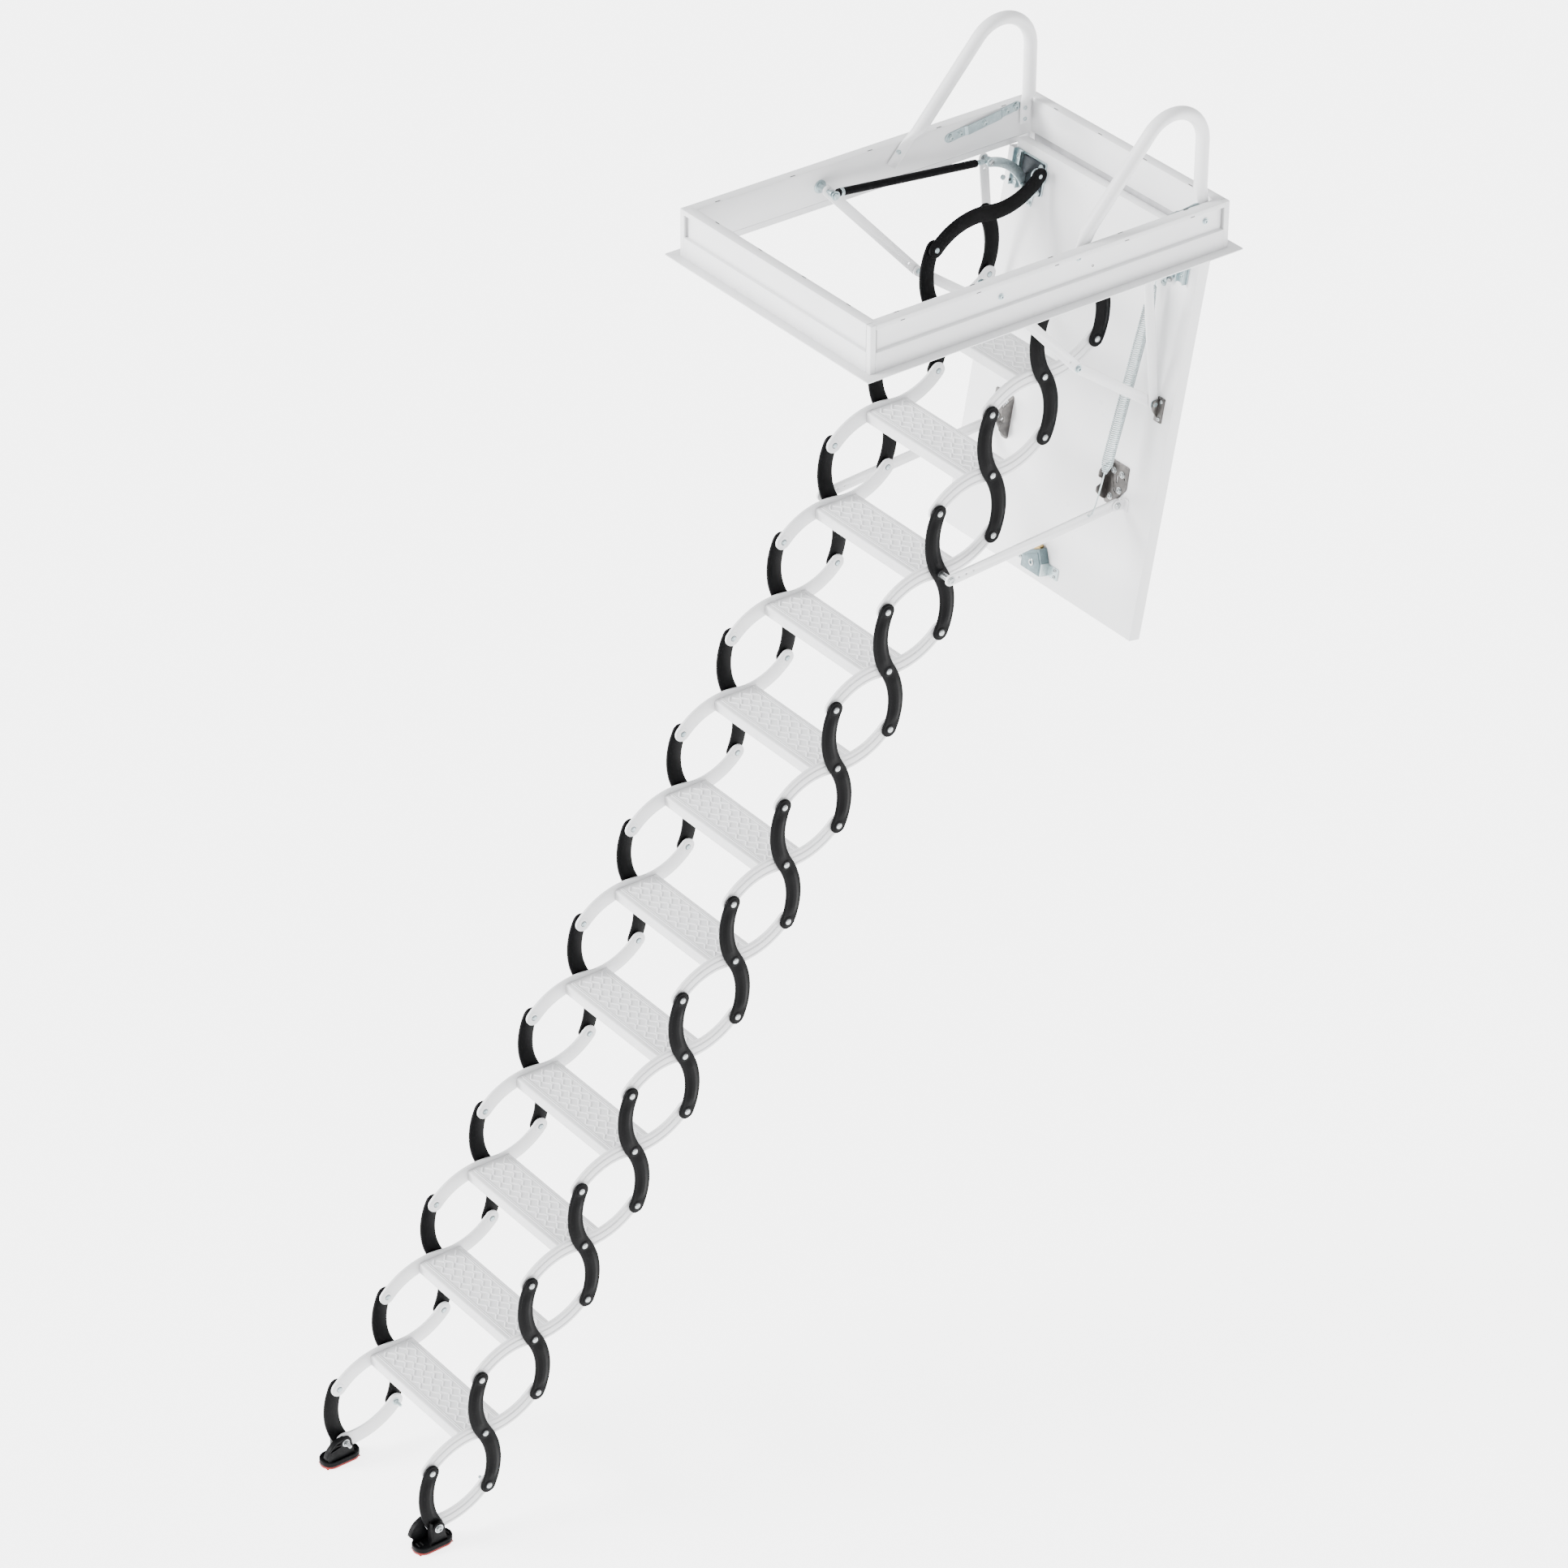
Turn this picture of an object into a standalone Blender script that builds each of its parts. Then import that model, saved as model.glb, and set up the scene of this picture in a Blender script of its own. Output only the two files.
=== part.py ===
"""Attic ladder: ceiling frame, drop-down hatch, twelve-tread concertina ladder and its linkages.

World frame: metres, +Z up, +Y towards the hatch hinge, +X to the climber's right.
The origin is on the outer face of the frame's hinge-end board, at the middle of its width.
"""
import math

import bmesh
import bpy
from mathutils import Matrix, Vector

# ---------------------------------------------------------------- driving dimensions
FRAME_WIDTH = 0.700
FRAME_LENGTH = 1.018
FRAME_TOP_Z = 0.085
FRAME_BASE_Z = -0.036
LEDGE_Z = -0.003
WALL = 0.028
SKIRT = 0.004
FLANGE_OUT = 0.025
FLANGE_THICK = 0.003

HINGE_Y = -0.042
HINGE_Z = -0.0355
HATCH_OPEN_DEG = 80.145
HATCH_HALF_WIDTH = 0.345
HATCH_THICK = 0.032
HATCH_LENGTH = 0.9713
HATCH_TONGUE = 0.0255
TONGUE_HALF_WIDTH = 0.319
NOTCH_START = 0.003

TREADS = 12
LINK_HALF = 0.1584
LINK_HALF_WIDTH = 0.020
LINK_BULGE = 0.0200
SLOPE_DEG = 55.147
OPEN_HALF_ANGLE_DEG = 37.04
TOP_PIVOT_Y = -0.1084
TOP_PIVOT_Z = -0.0421

TREAD_HALF_LENGTH = 0.1875
TREAD_DEPTH = 0.121
TREAD_TOP = 0.010
TREAD_SHEET = 0.003
TREAD_LIP = 0.026
RAIL_IN, RAIL_OUT = 0.1865, 0.1965
BLACK_IN, BLACK_OUT = 0.1985, 0.2065
PIN_TIP = 0.187
PIN_RADIUS = 0.0045
PIN_HOLE_RADIUS = 0.0060

FOOT_SOLE = 0.058
FOOT_PAD_THICK = 0.020
FOOT_PAD_LENGTH = 0.105
FOOT_PAD_MIDDLE = -0.0075
FOOT_IN, FOOT_OUT = 0.170, 0.224
FOOT_CHEEK_RADIUS = 0.017
FOOT_FIN_MIDDLE = (-0.010, -0.0305)
FOOT_FIN_RADIUS = 0.050

BAR_HALF_WIDTH = 0.014
BAR_IN, BAR_OUT = 0.2385, 0.2445
BAR_STEP = 10
BAR_PIVOT = (0.6636, 0.022)
SPACER_RADIUS = 0.008

STAY_HALF_WIDTH = 0.0125
UPPER_IN, UPPER_OUT = 0.2925, 0.2975
LOWER_IN, LOWER_OUT = 0.2865, 0.2915
STAY_FRAME = (-0.645, 0.038)
STAY_ELBOW = (-0.3835, -0.2437)
STAY_HATCH = (0.387, 0.0145)

LEVER_IN, LEVER_OUT = 0.2655, 0.2705
LEVER_TIP = (0.003, 0.119)
LEVER_ROOT = (0.080, -0.001)
LEVER_SAG = 0.020
LEVER_HALF_WIDTH = 0.012
STRUT_X = 0.2765
STRUT_RADIUS = 0.0095
STRUT_BORE = 0.0060
STRUT_ROD_RADIUS = 0.0042
STRUT_TUBE_GAP = 0.036
STRUT_ROD_GAP = 0.020

RAIL_TUBE_X = 0.3055
RAIL_TUBE_RADIUS = 0.016
RAIL_REAR_Y = -0.052
RAIL_BEND = 0.0895
RAIL_BEND_Z = 0.2325
RAIL_LEAN_DEG = 48.0
RAIL_FOOT_Z = 0.030
WALL_FACE_GAP = 0.0005
RAIL_FLAT = 0.30

ARC_STEPS = 5
CAP_STEPS = 5
HOLE_SIDES = 8

# ---------------------------------------------------------------- colours: base, roughness, metallic
FINISHES = {
    "white_powder_coat": ((0.86, 0.87, 0.88), 0.45, 0.0),
    "black_powder_coat": ((0.03, 0.03, 0.032), 0.5, 0.0),
    "zinc_plate": ((0.62, 0.68, 0.71), 0.35, 1.0),
    "black_plastic": ((0.025, 0.025, 0.027), 0.6, 0.0),
}


# ---------------------------------------------------------------- plane geometry, as (y, z) vectors
def unit(degrees):
    return Vector((math.cos(math.radians(degrees)), math.sin(math.radians(degrees))))


def turned(vector, degrees):
    c, s = math.cos(math.radians(degrees)), math.sin(math.radians(degrees))
    return Vector((c * vector.x - s * vector.y, s * vector.x + c * vector.y))


BLACK_DEG = SLOPE_DEG + OPEN_HALF_ANGLE_DEG
WHITE_DEG = SLOPE_DEG - OPEN_HALF_ANGLE_DEG
BLACK_ARM = LINK_HALF * unit(BLACK_DEG)
WHITE_ARM = LINK_HALF * unit(WHITE_DEG)
PITCH = BLACK_ARM + WHITE_ARM
TOP_PIVOT = Vector((TOP_PIVOT_Y, TOP_PIVOT_Z))
TOP_CROSSING = TOP_PIVOT - WHITE_ARM


def crossing(stage):
    """Centre pivot of a stage: 0 is the feet, 1 to 12 the treads, 13 the top crossing."""
    return TOP_CROSSING - (TREADS + 1 - stage) * PITCH


def hatch_point(distance, height):
    """A point on the open hatch: distance down from the hinge axis, height over the inner face."""
    local = Vector((-distance, height + HATCH_THICK))
    return Vector((HINGE_Y, HINGE_Z)) + turned(local, HATCH_OPEN_DEG)


def circle(centre, radius, sides=HOLE_SIDES, start=0.0):
    return [centre + radius * unit(start + 360.0 * k / sides) for k in range(sides)]


def link_edge(offset, bulge):
    """One edge of the upper half of a link, from its centre pivot to its end pivot."""
    radius = (LINK_HALF ** 2 / 4 + LINK_BULGE ** 2) / (2 * LINK_BULGE)
    limit = math.asin(LINK_HALF / 2 / radius)
    points = []
    for k in range(ARC_STEPS + 1):
        angle = limit * (2 * k / ARC_STEPS - 1)
        r = radius + bulge * offset
        u = LINK_HALF / 2 + r * math.sin(angle)
        v = bulge * (r * math.cos(angle) - (radius - LINK_BULGE))
        points.append(Vector((u, v)))
    return points, math.degrees(limit)


def link_cap(centre, start_deg):
    """Inner points of a half-round end, running clockwise from start_deg."""
    return [centre + LINK_HALF_WIDTH * unit(start_deg - 180.0 * k / CAP_STEPS) for k in range(1, CAP_STEPS)]


def whole_link(bulge):
    """S-shaped outline along +u, centred on its middle pivot. bulge is +1 or -1 for the upper half."""
    left, limit = link_edge(LINK_HALF_WIDTH, bulge)
    right, _ = link_edge(-LINK_HALF_WIDTH, bulge)
    end = Vector((LINK_HALF, 0.0))
    lower_left = [-p for p in reversed(right)]
    lower_right = [-p for p in reversed(left)]
    top_cap = link_cap(end, 90.0 - bulge * limit)
    bottom_cap = [-p for p in top_cap]
    return lower_left[:-1] + left + top_cap + right[::-1][:-1] + lower_right[::-1] + bottom_cap


def half_link(bulge):
    """The upper half of the same link, from a round end at the origin to the end pivot."""
    left, limit = link_edge(LINK_HALF_WIDTH, bulge)
    right, _ = link_edge(-LINK_HALF_WIDTH, bulge)
    top_cap = link_cap(Vector((LINK_HALF, 0.0)), 90.0 - bulge * limit)
    foot_cap = link_cap(Vector((0.0, 0.0)), -90.0 + bulge * limit)
    return left + top_cap + right[::-1] + foot_cap


def stadium(start, end, half_width):
    """Round-ended bar outline between two pivots."""
    heading = math.degrees(math.atan2(end.y - start.y, end.x - start.x))
    far = [end + half_width * unit(heading + 90.0 - 180.0 * k / CAP_STEPS) for k in range(CAP_STEPS + 1)]
    near = [start + half_width * unit(heading - 90.0 - 180.0 * k / CAP_STEPS) for k in range(CAP_STEPS + 1)]
    return far + near


def bowed_strip(start, end, half_width, sag, steps=8):
    """A strip that bows to the right of the line from start to end."""
    chord = (end - start).length
    heading = math.degrees(math.atan2(end.y - start.y, end.x - start.x))
    radius = (chord ** 2 / 4 + sag ** 2) / (2 * sag)
    limit = math.degrees(math.asin(chord / 2 / radius))
    hub = start + (end - start) / 2 + (radius - sag) * unit(heading + 90.0)
    sweep = [heading - 90.0 - limit + 2 * limit * k / steps for k in range(steps + 1)]
    outer = [hub + (radius + half_width) * unit(a) for a in sweep]
    inner = [hub + (radius - half_width) * unit(a) for a in sweep]
    return outer + inner[::-1]


# ---------------------------------------------------------------- scene helpers
def clear_scene():
    for item in list(bpy.data.objects):
        bpy.data.objects.remove(item, do_unlink=True)


def make_finish(name):
    colour, roughness, metallic = FINISHES[name]
    finish = bpy.data.materials.new(name)
    finish.use_nodes = True
    shader = finish.node_tree.nodes["Principled BSDF"]
    shader.inputs["Base Color"].default_value = (*colour, 1.0)
    shader.inputs["Roughness"].default_value = roughness
    shader.inputs["Metallic"].default_value = metallic
    return finish


def add_object(name, mesh, collection):
    item = bpy.data.objects.new(name, mesh)
    collection.objects.link(item)
    return item


def extrude_loops(loops, thickness):
    """Mesh of a flat outline with holes, made by a filled 2D curve and welded."""
    curve = bpy.data.curves.new("outline", "CURVE")
    curve.dimensions = "2D"
    curve.fill_mode = "BOTH"
    curve.extrude = thickness / 2
    for loop in loops:
        spline = curve.splines.new("POLY")
        spline.points.add(len(loop) - 1)
        for point, place in zip(spline.points, loop):
            point.co = (place[0], place[1], 0.0, 1.0)
        spline.use_cyclic_u = True
    holder = add_object("outline", curve, PART)
    mesh = bpy.data.meshes.new_from_object(holder.evaluated_get(bpy.context.evaluated_depsgraph_get()))
    bpy.data.objects.remove(holder)
    shape = bmesh.new()
    shape.from_mesh(mesh)
    bmesh.ops.remove_doubles(shape, verts=shape.verts, dist=1e-5)
    bmesh.ops.recalc_face_normals(shape, faces=shape.faces)
    shape.to_mesh(mesh)
    shape.free()
    return mesh


def side_plate(loops, x_low, x_high):
    """Mesh of a plate that lies in a y-z plane between two x values."""
    mesh = extrude_loops(loops, x_high - x_low)
    stand = Matrix(((0, 0, 1, (x_low + x_high) / 2), (1, 0, 0, 0), (0, 1, 0, 0), (0, 0, 0, 1)))
    mesh.transform(stand)
    return mesh


def flat_ring(outer, inner, z_low, z_high):
    """Mesh of a rectangular ring; outer and inner are (half width, y low, y high)."""
    def corners(rect):
        w, y_low, y_high = rect
        return [Vector((-w, y_low)), Vector((w, y_low)), Vector((w, y_high)), Vector((-w, y_high))]
    mesh = extrude_loops([corners(outer), corners(inner)], z_high - z_low)
    mesh.transform(Matrix.Translation((0, 0, (z_low + z_high) / 2)))
    return mesh


def block(low, high):
    """Mesh of a box between two corners."""
    shape = bmesh.new()
    bmesh.ops.create_cube(shape, size=1.0)
    size = Vector(high) - Vector(low)
    middle = (Vector(high) + Vector(low)) / 2
    bmesh.ops.transform(shape, verts=shape.verts, matrix=Matrix.Translation(middle) @ Matrix.Diagonal((*size, 1)))
    mesh = bpy.data.meshes.new("block")
    shape.to_mesh(mesh)
    shape.free()
    return mesh


def rod(start, end, radius, sides=HOLE_SIDES):
    """Mesh of a closed cylinder between two points."""
    start, end = Vector(start), Vector(end)
    shape = bmesh.new()
    bmesh.ops.create_cone(shape, cap_ends=True, segments=sides, radius1=radius, radius2=radius,
                          depth=(end - start).length)
    aim = (end - start).to_track_quat("Z", "Y").to_matrix().to_4x4()
    bmesh.ops.transform(shape, verts=shape.verts, matrix=Matrix.Translation((start + end) / 2) @ aim)
    mesh = bpy.data.meshes.new("rod")
    shape.to_mesh(mesh)
    shape.free()
    return mesh


def combine(base, others, operation):
    """Mesh of one shape joined with, or cut by, the others."""
    for other in others:
        body = add_object("body", base, PART)
        tool = add_object("tool", other, CUTTERS)
        tool.hide_render = True
        tool.display_type = "WIRE"
        change = body.modifiers.new("change", "BOOLEAN")
        change.operation = operation
        change.solver = "EXACT"
        change.object = tool
        base = bpy.data.meshes.new_from_object(body.evaluated_get(bpy.context.evaluated_depsgraph_get()))
        bpy.data.objects.remove(body)
        bpy.data.objects.remove(tool)
    return base


def place(name, mesh, finish, pivot=None, angle_deg=0.0):
    """Name a piece, give it a finish and set its origin on its pivot line."""
    item = add_object(name, mesh, PART)
    mesh.materials.clear()
    mesh.materials.append(finish)
    if pivot is not None:
        item.location = (0.0, pivot.x, pivot.y)
        item.rotation_euler = (math.radians(angle_deg), 0.0, 0.0)
    return item


def from_pivot(mesh, pivot):
    """Move a mesh drawn in world place so that it is measured from its pivot line."""
    mesh.transform(Matrix.Translation((0.0, -pivot.x, -pivot.y)))
    return mesh


def mirrored(mesh):
    """The left-hand copy of a right-hand mesh."""
    copy = mesh.copy()
    copy.transform(Matrix.Diagonal((-1, 1, 1, 1)))
    copy.flip_normals()
    return copy


def both_sides(name, mesh, finish, pivot=None, angle_deg=0.0):
    place(name + "_right", mesh, finish, pivot, angle_deg)
    place(name + "_left", mirrored(mesh), finish, pivot, angle_deg)


# ---------------------------------------------------------------- ceiling frame and handrails
def build_frame():
    half, y_front = FRAME_WIDTH / 2, -FRAME_LENGTH
    outer = (half, y_front, 0.0)
    walls = flat_ring(outer, (half - WALL, y_front + WALL, -WALL), LEDGE_Z, FRAME_TOP_Z)
    skirt_in = (half - SKIRT, y_front + SKIRT, -SKIRT)
    skirt = flat_ring(outer, skirt_in, FRAME_BASE_Z, LEDGE_Z + 0.001)
    brim = (half + FLANGE_OUT, y_front - FLANGE_OUT, FLANGE_OUT)
    brim_in = (half - SKIRT / 2, y_front + SKIRT / 2, -SKIRT / 2)
    flange = flat_ring(brim, brim_in, FRAME_BASE_Z, FRAME_BASE_Z + FLANGE_THICK)
    pins = []
    for side in (-1, 1):
        pins.append(rod((side * (half - WALL - 0.033), *STAY_FRAME), (side * (half - WALL + 0.004), *STAY_FRAME),
                        PIN_RADIUS))
    place("ceiling_frame", combine(walls, [skirt, flange] + pins, "UNION"), WHITE)


def handrail_path():
    """Centre line of a handrail in the y-z plane, from its front foot over the bend to its rear foot."""
    lean = RAIL_LEAN_DEG
    centre = Vector((RAIL_REAR_Y - RAIL_BEND, RAIL_BEND_Z))
    front_tangent = centre + RAIL_BEND * unit(90.0 + lean)
    length = (front_tangent.y - RAIL_FOOT_Z) / math.sin(math.radians(lean))
    front_foot = front_tangent + length * unit(180.0 + lean)
    knee = front_foot + 0.30 * (front_tangent - front_foot)
    arc = [centre + RAIL_BEND * unit((90.0 + lean) * (1.0 - k / 10)) for k in range(11)]
    return [front_foot, knee] + arc + [Vector((RAIL_REAR_Y, 0.110)), Vector((RAIL_REAR_Y, RAIL_FOOT_Z))]


def build_handrails():
    curve = bpy.data.curves.new("handrail", "CURVE")
    curve.dimensions = "3D"
    curve.bevel_depth = RAIL_TUBE_RADIUS
    curve.bevel_resolution = 2
    curve.use_fill_caps = True
    spline = curve.splines.new("POLY")
    path = handrail_path()
    spline.points.add(len(path) - 1)
    for point, spot in zip(spline.points, path):
        point.co = (RAIL_TUBE_X, spot.x, spot.y, 1.0)
    holder = add_object("handrail", curve, PART)
    mesh = bpy.data.meshes.new_from_object(holder.evaluated_get(bpy.context.evaluated_depsgraph_get()))
    bpy.data.objects.remove(holder)
    shape = bmesh.new()
    shape.from_mesh(mesh)
    bmesh.ops.remove_doubles(shape, verts=shape.verts, dist=1e-5)
    bmesh.ops.recalc_face_normals(shape, faces=shape.faces)
    wall_face = FRAME_WIDTH / 2 - WALL - WALL_FACE_GAP
    for vert in shape.verts:
        round_part = min(1.0, max(0.0, (vert.co.z - FRAME_TOP_Z) / 0.02))
        keep = RAIL_FLAT + (1.0 - RAIL_FLAT) * round_part
        vert.co.x = wall_face - keep * (wall_face - vert.co.x)
    shape.to_mesh(mesh)
    shape.free()
    both_sides("handrail", mesh, WHITE)


# ---------------------------------------------------------------- hatch with its fixed brackets
def hatch_outline(corners):
    return [hatch_point(s, h) for s, h in corners]


def hatch_bar(corners, x_low, x_high):
    return side_plate([hatch_outline(corners)], x_low, x_high)


def rectangle(s_low, s_high, h_low, h_high):
    return [(s_low, h_low), (s_high, h_low), (s_high, h_high), (s_low, h_high)]


def hatch_side_fittings():
    """Right-hand brackets: top bracket with lever and brace, stay bracket, catch plate and bar ear."""
    sunk = -0.002
    tip, root = hatch_point(*LEVER_TIP), hatch_point(*LEVER_ROOT)
    top, low, bar = hatch_point(0.0179, 0.0325), hatch_point(*STAY_HATCH), hatch_point(*BAR_PIVOT)
    fittings = [
        hatch_bar(rectangle(0.004, 0.086, sunk, 0.003), 0.205, 0.318),
        side_plate([stadium(top, hatch_point(0.030, 0.0), 0.014)], 0.2008, 0.2052),
        rod((PIN_TIP, *top), (0.203, *top), PIN_RADIUS),
        side_plate([bowed_strip(root, tip, LEVER_HALF_WIDTH, LEVER_SAG)], LEVER_IN, LEVER_OUT),
        rod((LEVER_IN + 0.001, *tip), (UPPER_OUT - 0.001, *tip), PIN_RADIUS),
        side_plate([stadium(tip, low, STAY_HALF_WIDTH)], UPPER_IN, UPPER_OUT),
        rod((LOWER_IN, *low), (UPPER_OUT - 0.001, *low), PIN_RADIUS),
        hatch_bar(rectangle(0.377, 0.425, sunk, 0.006), UPPER_IN + 0.001, 0.312),
        hatch_bar(rectangle(0.578, 0.680, sunk, 0.003), 0.178, 0.236),
        hatch_bar([(0.580, 0.001), (0.678, 0.001), (0.655, 0.033), (0.600, 0.033)], 0.1785, 0.1815),
        side_plate([stadium(bar, hatch_point(0.6636, -0.001), 0.013)], 0.2455, 0.2485),
        rod((BAR_IN + 0.0005, *bar), (0.247, *bar), PIN_RADIUS),
    ]
    return fittings


def hatch_board():
    """The panel with its narrower hinge-end tongue, drawn closed and turned down open about the hinge."""
    corners = [(HATCH_HALF_WIDTH, -HATCH_LENGTH), (HATCH_HALF_WIDTH, -NOTCH_START),
               (TONGUE_HALF_WIDTH, -NOTCH_START), (TONGUE_HALF_WIDTH, HATCH_TONGUE)]
    outline = [Vector(p) for p in corners] + [Vector((-p[0], p[1])) for p in reversed(corners)]
    mesh = extrude_loops([outline], HATCH_THICK)
    mesh.transform(Matrix.Translation((0.0, 0.0, HATCH_THICK / 2)))
    mesh.transform(Matrix.Rotation(math.radians(HATCH_OPEN_DEG), 4, "X"))
    mesh.transform(Matrix.Translation((0.0, HINGE_Y, HINGE_Z)))
    return mesh


def build_hatch():
    latch = hatch_bar(rectangle(0.884, 0.944, -0.002, 0.024), -0.036, 0.036)
    fittings = hatch_side_fittings()
    others = [latch] + fittings + [mirrored(piece) for piece in fittings]
    main = hatch_board()
    hinge = Vector((HINGE_Y, HINGE_Z))
    place("hatch_panel", from_pivot(combine(main, others, "UNION"), hinge), WHITE, hinge)


# ---------------------------------------------------------------- hatch stays, struts and support bars
def build_stays():
    frame_end, elbow = Vector(STAY_FRAME), Vector(STAY_ELBOW)
    hatch_end = hatch_point(*STAY_HATCH)
    upper = [stadium(frame_end, elbow, STAY_HALF_WIDTH), circle(frame_end, PIN_HOLE_RADIUS)]
    both_sides("stay_upper_arm", from_pivot(side_plate(upper, UPPER_IN, UPPER_OUT), frame_end), WHITE, frame_end)
    lower = [stadium(elbow, hatch_end, STAY_HALF_WIDTH), circle(hatch_end, PIN_HOLE_RADIUS)]
    both_sides("stay_lower_arm", from_pivot(side_plate(lower, LOWER_IN, LOWER_OUT), hatch_end), WHITE, hatch_end)


def build_struts():
    start, tip = Vector(STAY_FRAME), hatch_point(*LEVER_TIP)
    along = (tip - start).normalized()
    tube_end, rod_end = tip - STRUT_TUBE_GAP * along, tip - STRUT_ROD_GAP * along
    rod_start = start + 0.05 * along
    sleeve = rod((STRUT_X, *start), (STRUT_X, *tube_end), STRUT_RADIUS, 12)
    bore = rod((STRUT_X, *(start + 0.03 * along)), (STRUT_X, *tip), STRUT_BORE, 12)
    tube = combine(sleeve, [bore], "DIFFERENCE")
    both_sides("strut_tube", from_pivot(tube, start), BLACK, start)
    inner = rod((STRUT_X, *rod_start), (STRUT_X, *rod_end), STRUT_ROD_RADIUS)
    both_sides("strut_rod", from_pivot(inner, start), ZINC, start)


def build_support_bars():
    pivot, ladder_end = hatch_point(*BAR_PIVOT), crossing(BAR_STEP)
    outline = [stadium(pivot, ladder_end, BAR_HALF_WIDTH), circle(pivot, PIN_HOLE_RADIUS)]
    both_sides("support_bar", from_pivot(side_plate(outline, BAR_IN, BAR_OUT), pivot), WHITE, pivot)


# ---------------------------------------------------------------- ladder
def slide_outline(loops, shift):
    return [[Vector((p[0] - shift, p[1])) for p in loop] for loop in loops]


def with_pins(plate, places, outer_tip=None):
    pins = [rod((PIN_TIP, u, 0.0), (BLACK_IN + 0.002, u, 0.0), PIN_RADIUS) for u in places]
    if outer_tip is not None:
        pins.append(rod((BLACK_OUT - 0.002, *outer_tip), (BAR_IN - 0.001, *outer_tip), SPACER_RADIUS))
    return combine(plate, pins, "UNION")


def build_cross_links():
    outline = slide_outline([whole_link(1)], LINK_HALF)
    pins = (-2 * LINK_HALF, -LINK_HALF, 0.0)
    plain = with_pins(side_plate(outline, BLACK_IN, BLACK_OUT), pins)
    long_pin = with_pins(side_plate(outline, BLACK_IN, BLACK_OUT), pins, (-LINK_HALF, 0.0))
    shapes = {False: (plain, mirrored(plain)), True: (long_pin, mirrored(long_pin))}
    for stage in range(1, TREADS + 1):
        right, left = shapes[stage == BAR_STEP]
        top = crossing(stage) + BLACK_ARM
        place("cross_link_right_%02d" % stage, right, BLACK, top, BLACK_DEG)
        place("cross_link_left_%02d" % stage, left, BLACK, top, BLACK_DEG)


def tread_section():
    """Channel section of a tread about its centre pivot: top sheet with a lip at each edge."""
    half, top, low = TREAD_DEPTH / 2, TREAD_TOP, TREAD_TOP - TREAD_LIP
    inside, under = half - TREAD_SHEET, TREAD_TOP - TREAD_SHEET
    corners = [(-half, low), (-inside, low), (-inside, under), (inside, under), (inside, low), (half, low),
               (half, top), (-half, top)]
    return [Vector(corner) for corner in corners]


def build_steps():
    ends = (-LINK_HALF, 0.0, LINK_HALF)
    loops = [whole_link(-1)] + [circle(Vector((u, 0.0)), PIN_HOLE_RADIUS) for u in ends]
    laid = [[turned(Vector(p), WHITE_DEG) for p in loop] for loop in loops]
    rail = side_plate(laid, RAIL_IN, RAIL_OUT)
    tread = side_plate([tread_section()], -TREAD_HALF_LENGTH, TREAD_HALF_LENGTH)
    step = combine(tread, [rail, mirrored(rail)], "UNION")
    for stage in range(1, TREADS + 1):
        place("step_%02d" % stage, step, WHITE, crossing(stage))


def build_top_links():
    holes = [circle(Vector((u, 0.0)), PIN_HOLE_RADIUS) for u in (-LINK_HALF, 0.0, LINK_HALF)]
    outline = slide_outline([whole_link(-1)] + holes, LINK_HALF)
    both_sides("top_link", side_plate(outline, RAIL_IN, RAIL_OUT), BLACK, TOP_PIVOT, WHITE_DEG)
    half = with_pins(side_plate([half_link(1)], BLACK_IN, BLACK_OUT), (0.0, LINK_HALF))
    both_sides("top_half_link", half, BLACK, TOP_CROSSING, BLACK_DEG + 180.0)


def build_base_links():
    foot = crossing(0)
    hole = circle(Vector((0.0, 0.0)), PIN_HOLE_RADIUS)
    black = with_pins(side_plate([half_link(1), hole], BLACK_IN, BLACK_OUT), (LINK_HALF,))
    black.transform(Matrix.Translation((0.0, -LINK_HALF, 0.0)))
    both_sides("base_black_link", black, BLACK, foot + BLACK_ARM, BLACK_DEG)
    holes = [hole, circle(Vector((LINK_HALF, 0.0)), PIN_HOLE_RADIUS)]
    white = side_plate(slide_outline([half_link(-1)] + holes, LINK_HALF), RAIL_IN, RAIL_OUT)
    both_sides("base_white_link", white, WHITE, foot + WHITE_ARM, WHITE_DEG)


def foot_pad():
    """Round-ended pad, long along y, under the two cheeks."""
    middle, reach = (FOOT_IN + FOOT_OUT) / 2, (FOOT_OUT - FOOT_IN) / 2
    run = FOOT_PAD_LENGTH / 2 - reach
    centre_y = FOOT_PAD_MIDDLE
    outline = stadium(Vector((middle, centre_y - run)), Vector((middle, centre_y + run)), reach)
    mesh = extrude_loops([outline], FOOT_PAD_THICK)
    mesh.transform(Matrix.Translation((0.0, 0.0, -FOOT_SOLE + FOOT_PAD_THICK / 2)))
    return mesh


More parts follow.
